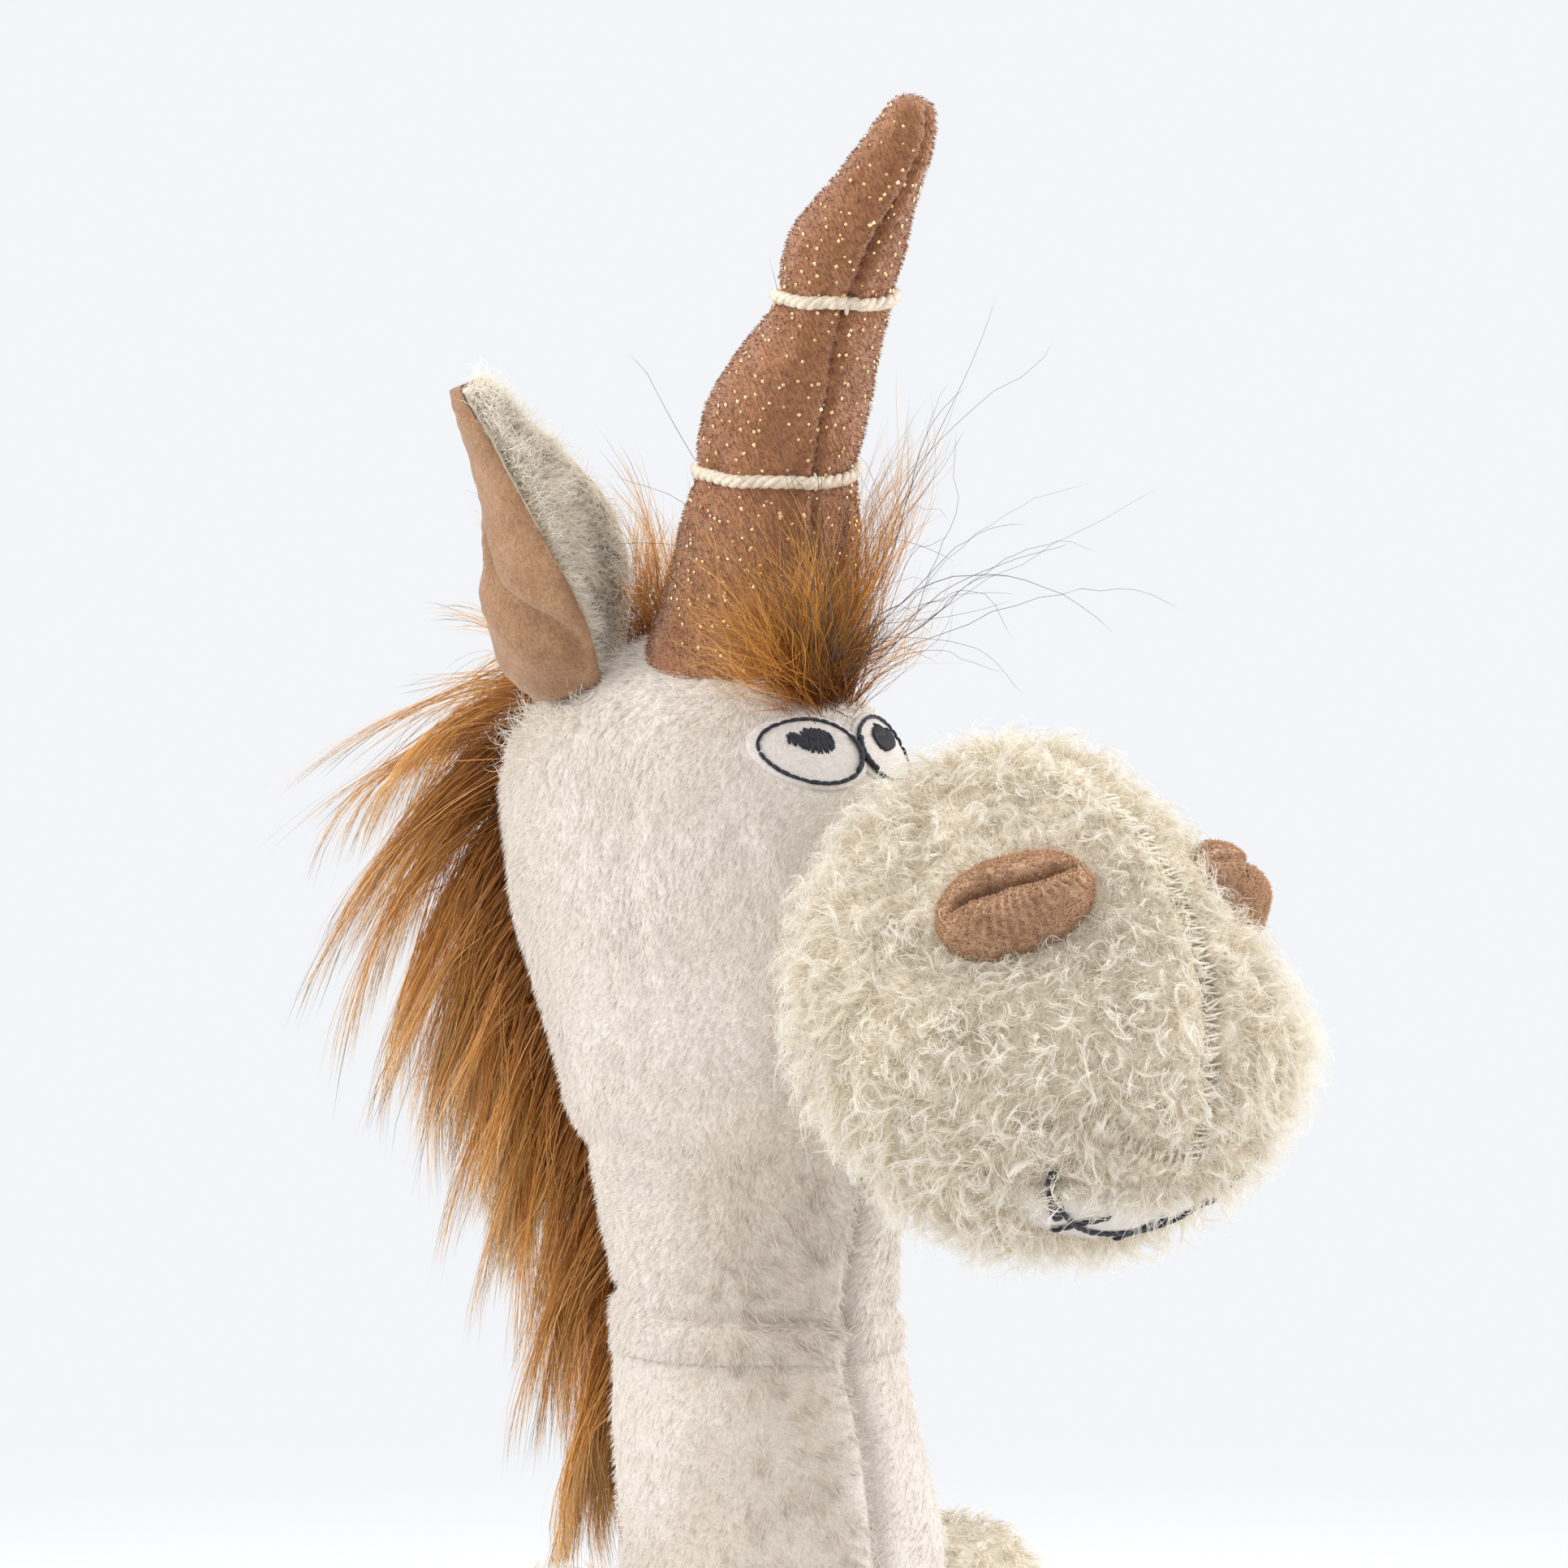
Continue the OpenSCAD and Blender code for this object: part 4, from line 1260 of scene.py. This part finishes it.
def make_horn_cord(name, node, rows, t, seed):
    """A soft three-ply cord drawn tight round the horn, with a tack stitch where it crosses the seam."""
    rng = np.random.default_rng(seed)
    angle = np.linspace(-np.pi, np.pi, 420)
    row = horn_row_at(rows, t)
    line, out = horn_ring(row, angle)
    wander = 0.35 * np.sin(2 * angle + 0.5) + 0.2 * np.sin(5 * angle)
    line = line + 0.7 * out + CORD_PLANE * wander[:, None]
    twist = np.cumsum(np.linalg.norm(np.gradient(line, axis=0), axis=1)) * 2 * np.pi / 6.5
    plies = []
    for turn in circle(3):
        phase = twist + turn
        path = line + 0.56 * (np.cos(phase)[:, None] * out + np.sin(phase)[:, None] * CORD_PLANE)
        plies.append(tube("ply", path, 0.78))
    finish_piece(join(name, plies), "cord", "horn_cord", "head", node)
    seam = math.radians(row[4])
    place, out = horn_ring(row, np.array([seam]))
    middle = place[0] + out[0] * 1.2
    stitches = [(middle + CORD_PLANE * 1.7 + shift, middle - CORD_PLANE * 1.7 + shift, out[0], 0.7, 0.9)
                for shift in rng.normal(0, 0.25, (2, 3))]
    finish_piece(stitched(f"{name}_tack", stitches), "cord", "horn_cord", "head")
    roots = line[rng.integers(0, len(line), 1800)]
    starts = unit(rng.normal(size=roots.shape))
    lines = strands(roots + 0.9 * starts, starts, unit(starts + rng.normal(size=roots.shape)),
                    rng.uniform(0.4, 1.2, len(roots)), 3, rng)
    grow(f"{name}_fluff", lines, 0.1, rng, "cord", "horn_cord", "head")


def make_glitter(rows):
    """Flat gold dots in uneven slanting rows over the horn."""
    rng = np.random.default_rng(110)
    places = []
    for t in np.arange(3, 112, 2.5):
        row = horn_row_at(rows, t)
        count = int(2 * np.pi * row[1] / 2.6)
        turn = t * 0.055
        for k in range(count):
            if rng.random() < GLITTER_GAPS:
                continue
            angle = 2 * np.pi * k / count + turn + rng.normal(0, 0.09)
            spot = horn_row_at(rows, t + 1.9 * math.sin(angle + turn) + rng.normal(0, 0.9))
            place, out = horn_ring(spot, np.array([angle]))
            places.append((place[0] + out[0] * 0.35, out[0], rng.uniform(0.28, 0.50)))
    points, triangles = [], []
    for place, out, r in places:
        side = unit(np.cross(out, rng.normal(size=3)))
        other = np.cross(out, side)
        start = len(points)
        points += [place + r * side, place + r * other, place - r * side, place - r * other,
                   place + 0.45 * r * out, place - 0.6 * r * out]
        for k in range(4):
            this, beside = start + k, start + (k + 1) % 4
            triangles += [(this, beside, start + 4), (beside, this, start + 5)]
    piece = new_piece("horn_glitter", np.array(points), (), triangles)
    piece.data.polygons.foreach_set("use_smooth", np.zeros(len(triangles), bool))
    finish_piece(piece, "gold", "horn_velour", "head")


def make_horn_set():
    horn, rows = make_horn()
    rng = np.random.default_rng(120)
    spots = [horn_ring(row, np.radians(row[4:])) for row in rows[12:-6]]
    line, normals = (part[:, 0] for part in apart(spots))
    stitches = line_of_stitches(line - 0.05 * normals, normals, 2.1, 0.45, 0.4, rng, -0.12)
    finish_piece(stitched("horn_seam", stitches), "horn_thread", "horn_velour", "head")
    roots, normals = scatter(horn, 26000, 121)
    lean = unit(np.array([0.5, -0.3, -0.8]) + 0.5 * rng.normal(size=roots.shape))
    lines = strands(roots, unit(normals + 0.4 * lean), unit(0.3 * normals + lean),
                    rng.uniform(0.5, 1.0, len(roots)), 2, rng)
    grow("horn_nap", lines, 0.17, rng, "horn_pile", "horn_velour", "head", 0.5)
    make_horn_cord("lower_cord", "lower_horn_cord", rows, LOWER_CORD, 131)
    make_horn_cord("upper_cord", "upper_horn_cord", rows, UPPER_CORD, 132)
    make_glitter(rows)
    finish_piece(horn, "horn", "horn_velour", "head", "horn_skin", "horn_stuffing")


# ---- Ears ----

EAR_ROOT = joint_place("left_ear_bend")
EAR_L = 60.0
# It leans outwards and a little back
EAR_TILT = turned(1, 26) @ turned(0, -5)
# Rows of share of the length, half width along the cloth, how far it wraps round, sideways sway, and
# how far it turns in
EAR_SHAPE = [(-0.05, 18, 110, 8.5, 40), (0.05, 26, 110, 10.5, 36), (0.2, 31, 106, 9.6, 31),
             (0.35, 29.5, 100, 6.6, 27), (0.5, 24.5, 94, 3.2, 24), (0.65, 18, 90, 0.8, 21),
             (0.8, 12.5, 88, 0.2, 19), (0.9, 9.6, 84, 0.0, 18), (0.965, 7.4, 82, 0.0, 16),
             (1.0, 3.6, 80, 0.0, 14)]
# A cupped ear is deeper than it is wide
EAR_DEEPER, EAR_NARROWER = 1.14, 0.87
# How much of the cup its lining fills
EAR_FILL = 0.8


def ear_surface(side, rows, q, offset, fill=0.0):
    """A grid of places on a cupped ear: rows along it, q from -1 to 1 across it, offset towards its back.
    fill is how far the lining fills the cup."""
    share, half, wrap, sway, turn = [column[:, None] for column in rows.T]
    turn = np.radians(turn)[..., None]
    facing = np.concatenate([-np.sin(turn), -np.cos(turn), 0 * turn], -1)
    width = np.cross(UP, facing)
    wrap = np.radians(wrap)
    r = half / wrap
    angle = q * wrap
    rim = np.sqrt(np.maximum(1 - np.abs(q) ** 8, 0.0))
    from_pleat = q - 0.35 - 0.55 * smooth(-share, -0.53, -0.12)
    groove = between(share, -0.02, 0.08, 0.45, 0.66) * dip(from_pleat * half, 1.5)
    bulge = between(share, -0.05, 0.12, 0.3, 0.5) * dip((from_pleat + 0.3) * half, 5)
    depth = (offset - fill * r * (1 - q ** 2)) * rim - 2.2 * groove + 1.2 * bulge
    along_width = EAR_NARROWER * (r + depth) * np.sin(angle)
    along_facing = 0.9 * r - EAR_DEEPER * (r + depth) * np.cos(angle)
    points = (share[..., None] * EAR_L * UP + along_width[..., None] * width
              + (along_facing - sway)[..., None] * facing)
    return (EAR_ROOT + points @ EAR_TILT.T) * [side, 1, 1]


def ear_shell(name, side, rows, inner_edge, outer_edge, outer, inner, fill=0.0):
    """A closed sheet of cloth that follows the ear from its inner edge to its outer one."""
    q = np.linspace(inner_edge, outer_edge, 70)
    front = ear_surface(side, rows, q, inner, fill)
    rings = np.concatenate([ear_surface(side, rows, q, outer), front[:, ::-1]], 1)
    return loft(name, rings[:, ::-1] if side > 0 else rings)


def make_ear(side):
    prefix = SIDE_NAMES[side]
    body = f"{prefix}_ear"
    rng = np.random.default_rng(140 + side)
    rows = spline(EAR_SHAPE, 90)
    back = ear_shell(f"{prefix}_ear_cloth", side, rows, -0.93, 1.0, 1.1, -0.9)
    points = points_of(back)
    push(back, 0.35 * waves(points, 12, 141) + 0.15 * waves(points, 4, 145))
    lining = ear_shell(f"{prefix}_ear_inside", side, rows[4:-2], -1.0, 0.96, -1.0, -2.4, EAR_FILL)
    push(lining, 0.3 * waves(points_of(lining), 7, 147))
    opening = EAR_TILT @ unit(np.array([-0.42, -0.9, 0.0]))
    front = ear_surface(side, rows[5:-3], np.linspace(-0.99, 0.93, 60), -2.2, EAR_FILL)
    roots, normals = scatter_on_grid(front, 15000, rng)
    normals = normals * np.sign((normals @ (opening * [side, 1, 1])).mean())
    flow = wavy_vectors(roots, 9, 154) + 0.8 * rng.normal(size=roots.shape)
    lengths = rng.uniform(2.6, 7.0, len(roots))
    lines = strands(roots, unit(normals + 0.4 * flow), unit(0.5 * normals + flow), lengths, 4, rng,
                    rng.uniform(0.2, 0.9, len(roots)), 1.1)
    # The curls take the brightened copy of the curly pile: painted light in the shaded cup
    grow(f"{prefix}_ear_curls", lines, 0.22, rng, "lit_lining_pile", "curly_plush", body)
    # The ear back takes the darker copy of the tan velour: painted shade
    finish_piece(back, "shaded_ear_velour", "tan_velour", body, f"{prefix}_ear_back")
    finish_piece(lining, "curly_backing", "curly_plush", body, f"{prefix}_ear_lining")


# ---- Hair ----

# No hair of the mane goes further back than this
MANE_BACK = 104
# Parts of the forelock: degrees from upright towards the toy's left, number of locks, strands in each,
# shortest and longest strands, and how far they lean back over the head
FORELOCK_FANS = [(-92, -58, 16, 20, 22, 42, 0.36), (-58, -10, 22, 27, 16, 40, 0.16),
                 (-10, 10, 6, 22, 18, 32, 0.05), (14, 24, 7, 36, 38, 58, -0.04),
                 (30, 75, 6, 18, 16, 30, 0.10)]
# How many guard hairs the forelock has, and how many of them cross the horn
GUARD_HAIRS, STRAY_HAIRS = 50, 14


def mane_guides(cast, low, high, count, rng):
    """Roots, normals, directions and lengths of the mane's locks between two heights."""
    half_width = 12.5
    z = rng.uniform(low, high, count)
    x = rng.uniform(-half_width, half_width, count)
    roots, normals = apart([cast((a, 250, b), -BACKWARD) for a, b in zip(x, z)])
    # 0 at the mane's foot and 1 at its top
    v = smooth(z, 215, 322)[:, None]
    out_sideways = (x / half_width)[:, None] * LEFTWARD
    drift = 0.12 * wavy_vectors(roots, 45, 165) + 0.05 * rng.normal(size=roots.shape)
    top = smooth(z, 290, 322)[:, None]
    starts = normals * (0.50 + 0.24 * top) + out_sideways * (0.18 + 0.20 * v) + drift
    starts = starts - UP * (0.85 - 0.25 * top)
    ends = -UP + out_sideways * (0.03 + 0.08 * v) + BACKWARD * (0.05 * v - 0.07 + 0.30 * top) + drift
    lengths = (52 + 10 * v[:, 0]) * rng.uniform(0.72, 1.15, count)
    return roots, normals, unit(starts), unit(ends), lengths


def make_ear_fuzz(cast):
    """Longer plush round the foot of each ear, behind it most of all."""
    rng = np.random.default_rng(158)
    count = 2600
    turn = rng.uniform(0, 2 * np.pi, count)
    away = 17 * np.sqrt(rng.random(count))
    x = (EAR_ROOT[0] + 3 + away * np.cos(turn)) * rng.choice([-1, 1], count)
    y = EAR_ROOT[1] + 9 + away * np.sin(turn)
    spots = [cast((a, b, 400), -UP) for a, b in zip(x, y)]
    # A line that misses the head gives no place
    roots, normals = apart([spot for spot in spots if spot[0].shape == (3,)])
    flat = 0.6 * wavy_vectors(roots, 12, 159) + 0.7 * rng.normal(size=roots.shape)
    lines = strands(roots - PILE_SINK * normals, unit(normals + 0.5 * flat), unit(0.5 * normals + flat),
                    rng.uniform(3.0, 7.5, len(roots)), 6, rng, 0.8, 0.9)
    # It shares the ear linings' brightened pile, with its painted light
    grow("ear_foot_fuzz", lines, 0.2, rng, "lit_lining_pile", "cream_plush", "head")


def make_mane(head_cast, body_cast):
    rng = np.random.default_rng(160)
    for name, cast, low, high, count, body, node in (
            ("mane_of_the_head", head_cast, 206, 324, 185, "neck_to_head", "head_mane"),
            ("mane_of_the_neck", body_cast, 184, 201, 46, "neck", "neck_mane")):
        roots, normals, starts, ends, lengths = mane_guides(cast, low, high, count, rng)
        # A few long wisps stand away from the rest
        loose = rng.random(count) < 0.05 + 0.35 * smooth(roots[:, 2], 285, 318)
        starts[loose] = unit(starts[loose] + [0, 0.20, -0.10])
        ends[loose] = unit(ends[loose] + unit(starts[loose]) * 0.6)
        per_lock = 100
        lines = locks(roots - 0.5 * starts, starts, ends, lengths, rng, per_lock, 3.6, 1.15,
                      steps=8, curl=2.2)
        facing = np.repeat(normals, per_lock, axis=0) + 0.8 * rng.normal(size=(len(lines), 3))
        kept = ~np.repeat(loose, per_lock) | (rng.random(len(lines)) < 0.28)
        lines, facing = lines[kept], facing[kept]
        lines[..., 1] = np.minimum(lines[..., 1], MANE_BACK)
        order = rng.permutation(len(lines))
        pieces = grow(name, lines[order], 0.22, rng, "fur", "faux_fur", body, 0.3, facing[order])
        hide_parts(node)


def forelock_roots(cast, angle, rng):
    x = -1.0 + 3.6 * np.sin(angle) + rng.normal(0, 0.7, len(angle))
    z = 319.0 + 1.6 * np.cos(angle) + rng.normal(0, 0.6, len(angle))
    return apart([cast((a, -200, b), BACKWARD) for a, b in zip(x, z)])


def make_forelock(cast):
    """A tuft from one small root between the eyes and the horn, which fans out over the horn's foot."""
    rng = np.random.default_rng(170)
    fans = []
    for low, high, count, per_lock, short, long, lean in FORELOCK_FANS:
        angle = np.radians(rng.uniform(low, high, count))
        roots, normals = forelock_roots(cast, angle, rng)
        fan = np.stack([np.sin(angle), lean + 0 * angle, np.cos(angle)], -1)
        starts = unit(0.7 * normals + 0.9 * fan)
        ends = unit(fan + 0.22 * normals + 0.16 * rng.normal(size=roots.shape))
        lengths = rng.uniform(short, long, count)
        fans.append(locks(roots - 0.6 * normals, starts, ends, lengths, rng, per_lock, 1.5, 2.8,
                          wobble=3.2, curl=2.4, turns=1.0))
    lines = np.concatenate(fans)
    lines = lines[rng.permutation(len(lines))]
    pieces = grow("forelock_hair", lines, 0.16, rng, "forelock_fur", "faux_fur", "head", 0.3)
    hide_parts("forelock")

    # The short dark hair at its heart
    angle = np.radians(rng.uniform(-45, 45, 30))
    roots, normals = forelock_roots(cast, angle, rng)
    fan = np.stack([0.8 * np.sin(angle), 0 * angle, np.cos(angle)], -1)
    lines = locks(roots - 0.6 * normals, unit(0.6 * normals + fan), unit(fan + 0.15 * normals),
                  rng.uniform(9, 22, len(roots)), rng, 60, 1.3, 1.5, wobble=1.8, curl=2.0)
    grow("forelock_heart", lines, 0.2, rng, "fur_core", "faux_fur", "head", 0.3)

    # Long crinkled guard hairs that stand clear of the tuft
    count = GUARD_HAIRS
    roots, normals = forelock_roots(cast, np.radians(rng.uniform(-60, 60, count)), rng)
    aim = unit(np.array([0.4, -0.15, 0.45]) + 0.9 * rng.normal(size=(count, 3)))
    aim[:, 2] = np.abs(aim[:, 2])
    # Some of them stray over the horn's near side
    stray = rng.uniform(0.2, 1.1, STRAY_HAIRS)[:, None]
    aim[:STRAY_HAIRS] = unit(stray * np.array([-0.77, 0.64, 0]) + np.array([-0.42, -0.5, 0])
                             + rng.uniform(0.35, 1.1, STRAY_HAIRS)[:, None] * UP)
    spread = np.where(np.arange(count) < STRAY_HAIRS, 0.35, 0.9)[:, None]
    lines = strands(roots, unit(normals + 0.8 * aim), unit(aim + spread * rng.normal(size=aim.shape)),
                    rng.uniform(30, 86, count), 18, rng, rng.uniform(0.5, 5.0, count), 0.9)
    kinks = rng.normal(0, 0.75, lines.shape) * (rng.random(lines.shape[:2]) < 0.4)[..., None]
    crinkle = np.cumsum(kinks, axis=1)
    lines += crinkle - crinkle[:, :1]
    grow("forelock_guard_hairs", lines, 0.18, rng, "guard_hair", "faux_fur", "head", 0.35, sides=3)


def make_poll_tuft(cast):
    """Hair behind the horn, between the ears, that runs back into the mane."""
    rng = np.random.default_rng(180)
    count = 30
    share = rng.random(count) ** 1.3
    x = rng.uniform(-9, 9, count)
    y = 24 + 34 * share
    roots, normals = apart([cast((a, b, 400), -UP) for a, b in zip(x, y)])
    s = share[:, None]
    starts = unit(normals + 0.35 * rng.normal(size=roots.shape))
    ends = unit(UP * (0.9 - 1.2 * s) + BACKWARD * (0.25 + 0.6 * s) + (0.05 * x)[:, None] * LEFTWARD
                + 0.22 * rng.normal(size=roots.shape))
    lengths = rng.uniform(26, 44, count)
    lines = locks(roots - 0.5 * normals, starts, ends, lengths, rng, 36, 2.2, 1.7, curl=2.4)
    lines = lines[rng.permutation(len(lines))]
    pieces = grow("poll_hair", lines, 0.18, rng, "fur", "faux_fur", "head", 0.3)
    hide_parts("poll_tuft")


def make_tail(body_cast):
    """A tuft whose roots are on the torso's skin."""
    rng = np.random.default_rng(190)
    foot, _ = body_cast((0, 200, node_box("tail")[1][2] - 4.5), -BACKWARD)
    count = 30
    roots = foot + rng.normal(0, 1.4, (count, 3)) * [1.2, 0.2, 1.2] - [0, 1.0, 0]
    aim = rng.normal(size=(count, 3)) * [0.42, 0.18, 0.1]
    starts = unit(np.array([0, 0.9, -0.3]) + 0.8 * aim)
    ends = unit(-UP + 0.6 * aim)
    lines = locks(roots, starts, ends, rng.uniform(42, 56, count), rng, 90, 1.8, 1.6, curl=1.6)
    lines[..., 2] = np.maximum(lines[..., 2], 1.0)
    lines = lines[rng.permutation(len(lines))]
    pieces = grow("tail_hair", lines, 0.26, rng, "fur", "faux_fur", "torso_to_tail", 0.3)
    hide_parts("tail")


# ---- Limbs ----

# Each limb: rows of distance from the joint and radius for its sleeve, then for its hoof
ARM_SLEEVE = [(-24, 7.5), (-16, 10.0), (-7, 11.5), (4, 12.4), (20, 13.6), (40, 13.2), (60, 12.6), (76, 12.4),
              (80, 11.0)]
ARM_HOOF = [(76, 6.0), (78, 11.4), (80, 13.2), (84, 14.0), (94, 14.0), (99, 13.0), (102.5, 10.0), (104, 5.0),
            (104.3, 0.3)]
LEG_SLEEVE = [(-30, 12.5), (-18, 15.0), (-8, 16.6), (4, 17.2), (25, 17.4), (50, 16.8), (75, 16.2), (88, 15.8),
              (92, 14.0)]
LEG_HOOF = [(87, 9.0), (89.5, 16.4), (92, 18.4), (96, 19.4), (110, 19.4), (116, 18.2), (119.8, 14.5),
            (121.6, 8.0), (122, 0.4)]
# The place of its joint, where it is sewn on, how it is turned, two places near its sewn end, which go into
# BENDS, and how many curled locks its sleeve has
LIMBS = {
    "arm": dict(root=np.array([53.0, 0, 140]), inner=np.array([33.0, 0, 139]), turn=turned(1, -38),
                bend=(np.array([38.0, 0, 140]), np.array([52.0, 0, 140])),
                sleeve=ARM_SLEEVE, hoof=ARM_HOOF, curls=2000),
    "leg": dict(root=np.array([37.0, -59, 20]), inner=np.array([31.0, -31, 21]),
                turn=turned(2, 15) @ turned(0, -90),
                bend=(np.array([33.0, -42, 20]), np.array([38.0, -60, 20])),
                sleeve=LEG_SLEEVE, hoof=LEG_HOOF, curls=2700),
}


def limb_rings(limb, rows, cols):
    """Rings along a limb. Before its joint the line bends in to where the limb is sewn on."""
    ahead = limb["turn"] @ -UP
    inward = unit(limb["inner"] - limb["root"])
    rings = []
    for t, r in rows:
        bent = smooth(-t, -8, 16)
        heading = unit(ahead * (1 - bent) - inward * bent)
        centre = limb["root"] + (ahead * t if t > 0 else inward * -t)
        side = unit(np.cross(heading, [0.02, 0.3, 1.0] if abs(heading[2]) < 0.9 else BACKWARD))
        rings.append(ring_round(centre, heading, side, r, cols))
    return np.array(rings)


def make_limb(side, kind):
    prefix = SIDE_NAMES[side]
    limb = LIMBS[kind]
    body = f"{prefix}_{kind}"
    mirror = np.array([side, 1, 1])
    bend = f"torso_to_{body}"
    BENDS[bend] = ("torso", body, limb["bend"][0] * mirror, limb["bend"][1] * mirror)
    rng = np.random.default_rng(200 + len(kind) + side + ord(kind[0]))

    def mirrored(rings):
        return rings * mirror if side > 0 else (rings * mirror)[:, ::-1]

    sleeve = loft(f"{body}_sleeve", mirrored(limb_rings(limb, spline(limb["sleeve"], 70), 72)))
    push(sleeve, 0.6 * waves(points_of(sleeve), 18, 201) + 0.25 * waves(points_of(sleeve), 8, 205))
    hoof = loft(f"{body}_hoof_pad", mirrored(limb_rings(limb, spline(limb["hoof"], 60), 110)))
    points = points_of(hoof)
    ahead = (limb["turn"] @ -UP) * mirror
    centre = limb["root"] * mirror
    along = (points - centre) @ ahead
    reach = limb["hoof"][-1][0]
    # A cleft up the front of the hoof, and a groove round the edge of its sole
    across = points - centre - along[:, None] * ahead
    front = across[:, 2] if kind == "leg" else -across[:, 1]
    cleft = dip(across[:, 0], 1.1) * smooth(front, 2, 7) * smooth(along, reach - 22, reach - 15)
    push(hoof, 0.3 * waves(points, 9, 211) - 2.0 * cleft - 0.8 * dip(along - reach + 7.5, 0.9))

    def keep(places):
        return ((places - centre) @ ahead < reach - 18) * (places[:, 2] > 3.0) * (np.abs(places[:, 0]) > 20)

    roots, normals = scatter(sleeve, limb["curls"], 220 + side + len(kind), keep)
    flow = 0.5 * ahead - 0.3 * UP + 0.8 * wavy_vectors(roots, 12, 222) + 0.6 * rng.normal(size=roots.shape)
    flow = unit(square_to(flow, normals))
    lengths = rng.uniform(3.0, 6.4, len(roots))
    lines = locks(roots, unit(normals + 0.5 * flow), unit(0.2 * normals + flow), lengths, rng, 6, 0.9, 0.35,
                  steps=5, wobble=0.25, curl=rng.uniform(0.3, 1.1, len(roots)), turns=1.1)
    lines[..., 2] = np.maximum(lines[..., 2], 0.6)
    grow(f"{body}_curls", lines, 0.32, rng, "curly_pile", "curly_plush", bend)
    finish_piece(sleeve, "curly_backing", "curly_plush", bend, f"{body}_skin", f"{body}_stuffing")
    finish_piece(hoof, "velour", "tan_velour", body, f"{body}_hoof")


# ---- Seat and label ----

def make_seat(body_cast):
    r = node_box("seat_panel")[1][0]
    rows = [(0.1, r - 3), (0.06, r - 1.0), (0.3, r - 0.2), (1.2, r - 0.1), (1.6, r - 1.2)]
    panel = loft("seat_disc", oval_rings([(z, -w, w, w) for z, w in rows], 96))
    finish_piece(panel, "seat", "cream_plush", "torso", "seat_panel")
    rng = np.random.default_rng(240)
    angle = np.linspace(0, 2 * np.pi, 120)
    outwards = np.stack([np.cos(angle), np.sin(angle), 0 * angle], -1)
    places, normals = apart([body_cast(90 * out + 3.2 * UP, -out) for out in outwards])
    rows = line_of_stitches(places + 0.3 * normals, normals, 3.4, 0.7, 0.5, rng, -0.1)
    finish_piece(stitched("seat_stitching", rows), "seam_thread", "thread", "torso")


def make_label(body_cast):
    """A blank ribbon label, sewn by one edge into the seam and bent a little by its own weight."""
    low, high = node_box("care_label")
    heading = unit(np.array([high[0], high[1], 0]))
    side = np.cross(UP, heading)
    foot, _ = body_cast(heading * 120 + UP * (low[2] + high[2]) / 2, -heading)
    reach = np.linspace(0, 16, 14)[:, None]
    across = np.linspace(-10, 10, 16)[None, :]
    droop = 0.012 * reach ** 2 + 0.3 * np.sin(across / 4)
    middle = (foot[:2] @ heading[:2] - 1.0 + reach)[..., None] * heading + across[..., None] * UP
    middle = middle + UP * foot[2] + droop[..., None] * side
    rings = np.concatenate([middle + 0.12 * side, (middle - 0.12 * side)[:, ::-1]], 1)
    label = loft("blank_label", rings)
    finish_piece(label, "label", "label_ribbon", "torso", "care_label")


# ---- Build ----

head_skin = make_head_skin()
body_skin = make_body_skin()
face_cast = caster(head_skin)
muzzle = make_muzzle()

for side in (-1, 1):
    make_eye(side, face_cast)
    make_nostril(side)
    make_ear(side)
    make_limb(side, "arm")
    make_limb(side, "leg")
make_mouth()
make_muzzle_seams()
make_muzzle_pile(muzzle)
make_horn_set()
body_cast = caster(body_skin)
make_mane(face_cast, body_cast)
make_forelock(face_cast)
make_poll_tuft(face_cast)
make_ear_fuzz(face_cast)
make_tail(body_cast)
make_seat(body_cast)
make_label(body_cast)
make_short_pile("head_pile", head_skin, 84000, 90, "neck_to_head", off_the_face)
make_short_pile("body_pile", body_skin, 47000, 95, "torso_to_neck",
                lambda places: (places[:, 2] > 1.5) * (places[:, 2] < 194.0))

finish_piece(head_skin, "plush", "cream_plush", "neck_to_head", "head_skin", "head_stuffing")
finish_piece(body_skin, "plush", "cream_plush", "torso_to_neck", "torso_skin", "torso_stuffing",
             "pellet_bag", "neck_skin", "neck_stuffing")
finish_piece(muzzle, "curly_backing", "curly_plush", "head", "muzzle_skin", "muzzle_stuffing")
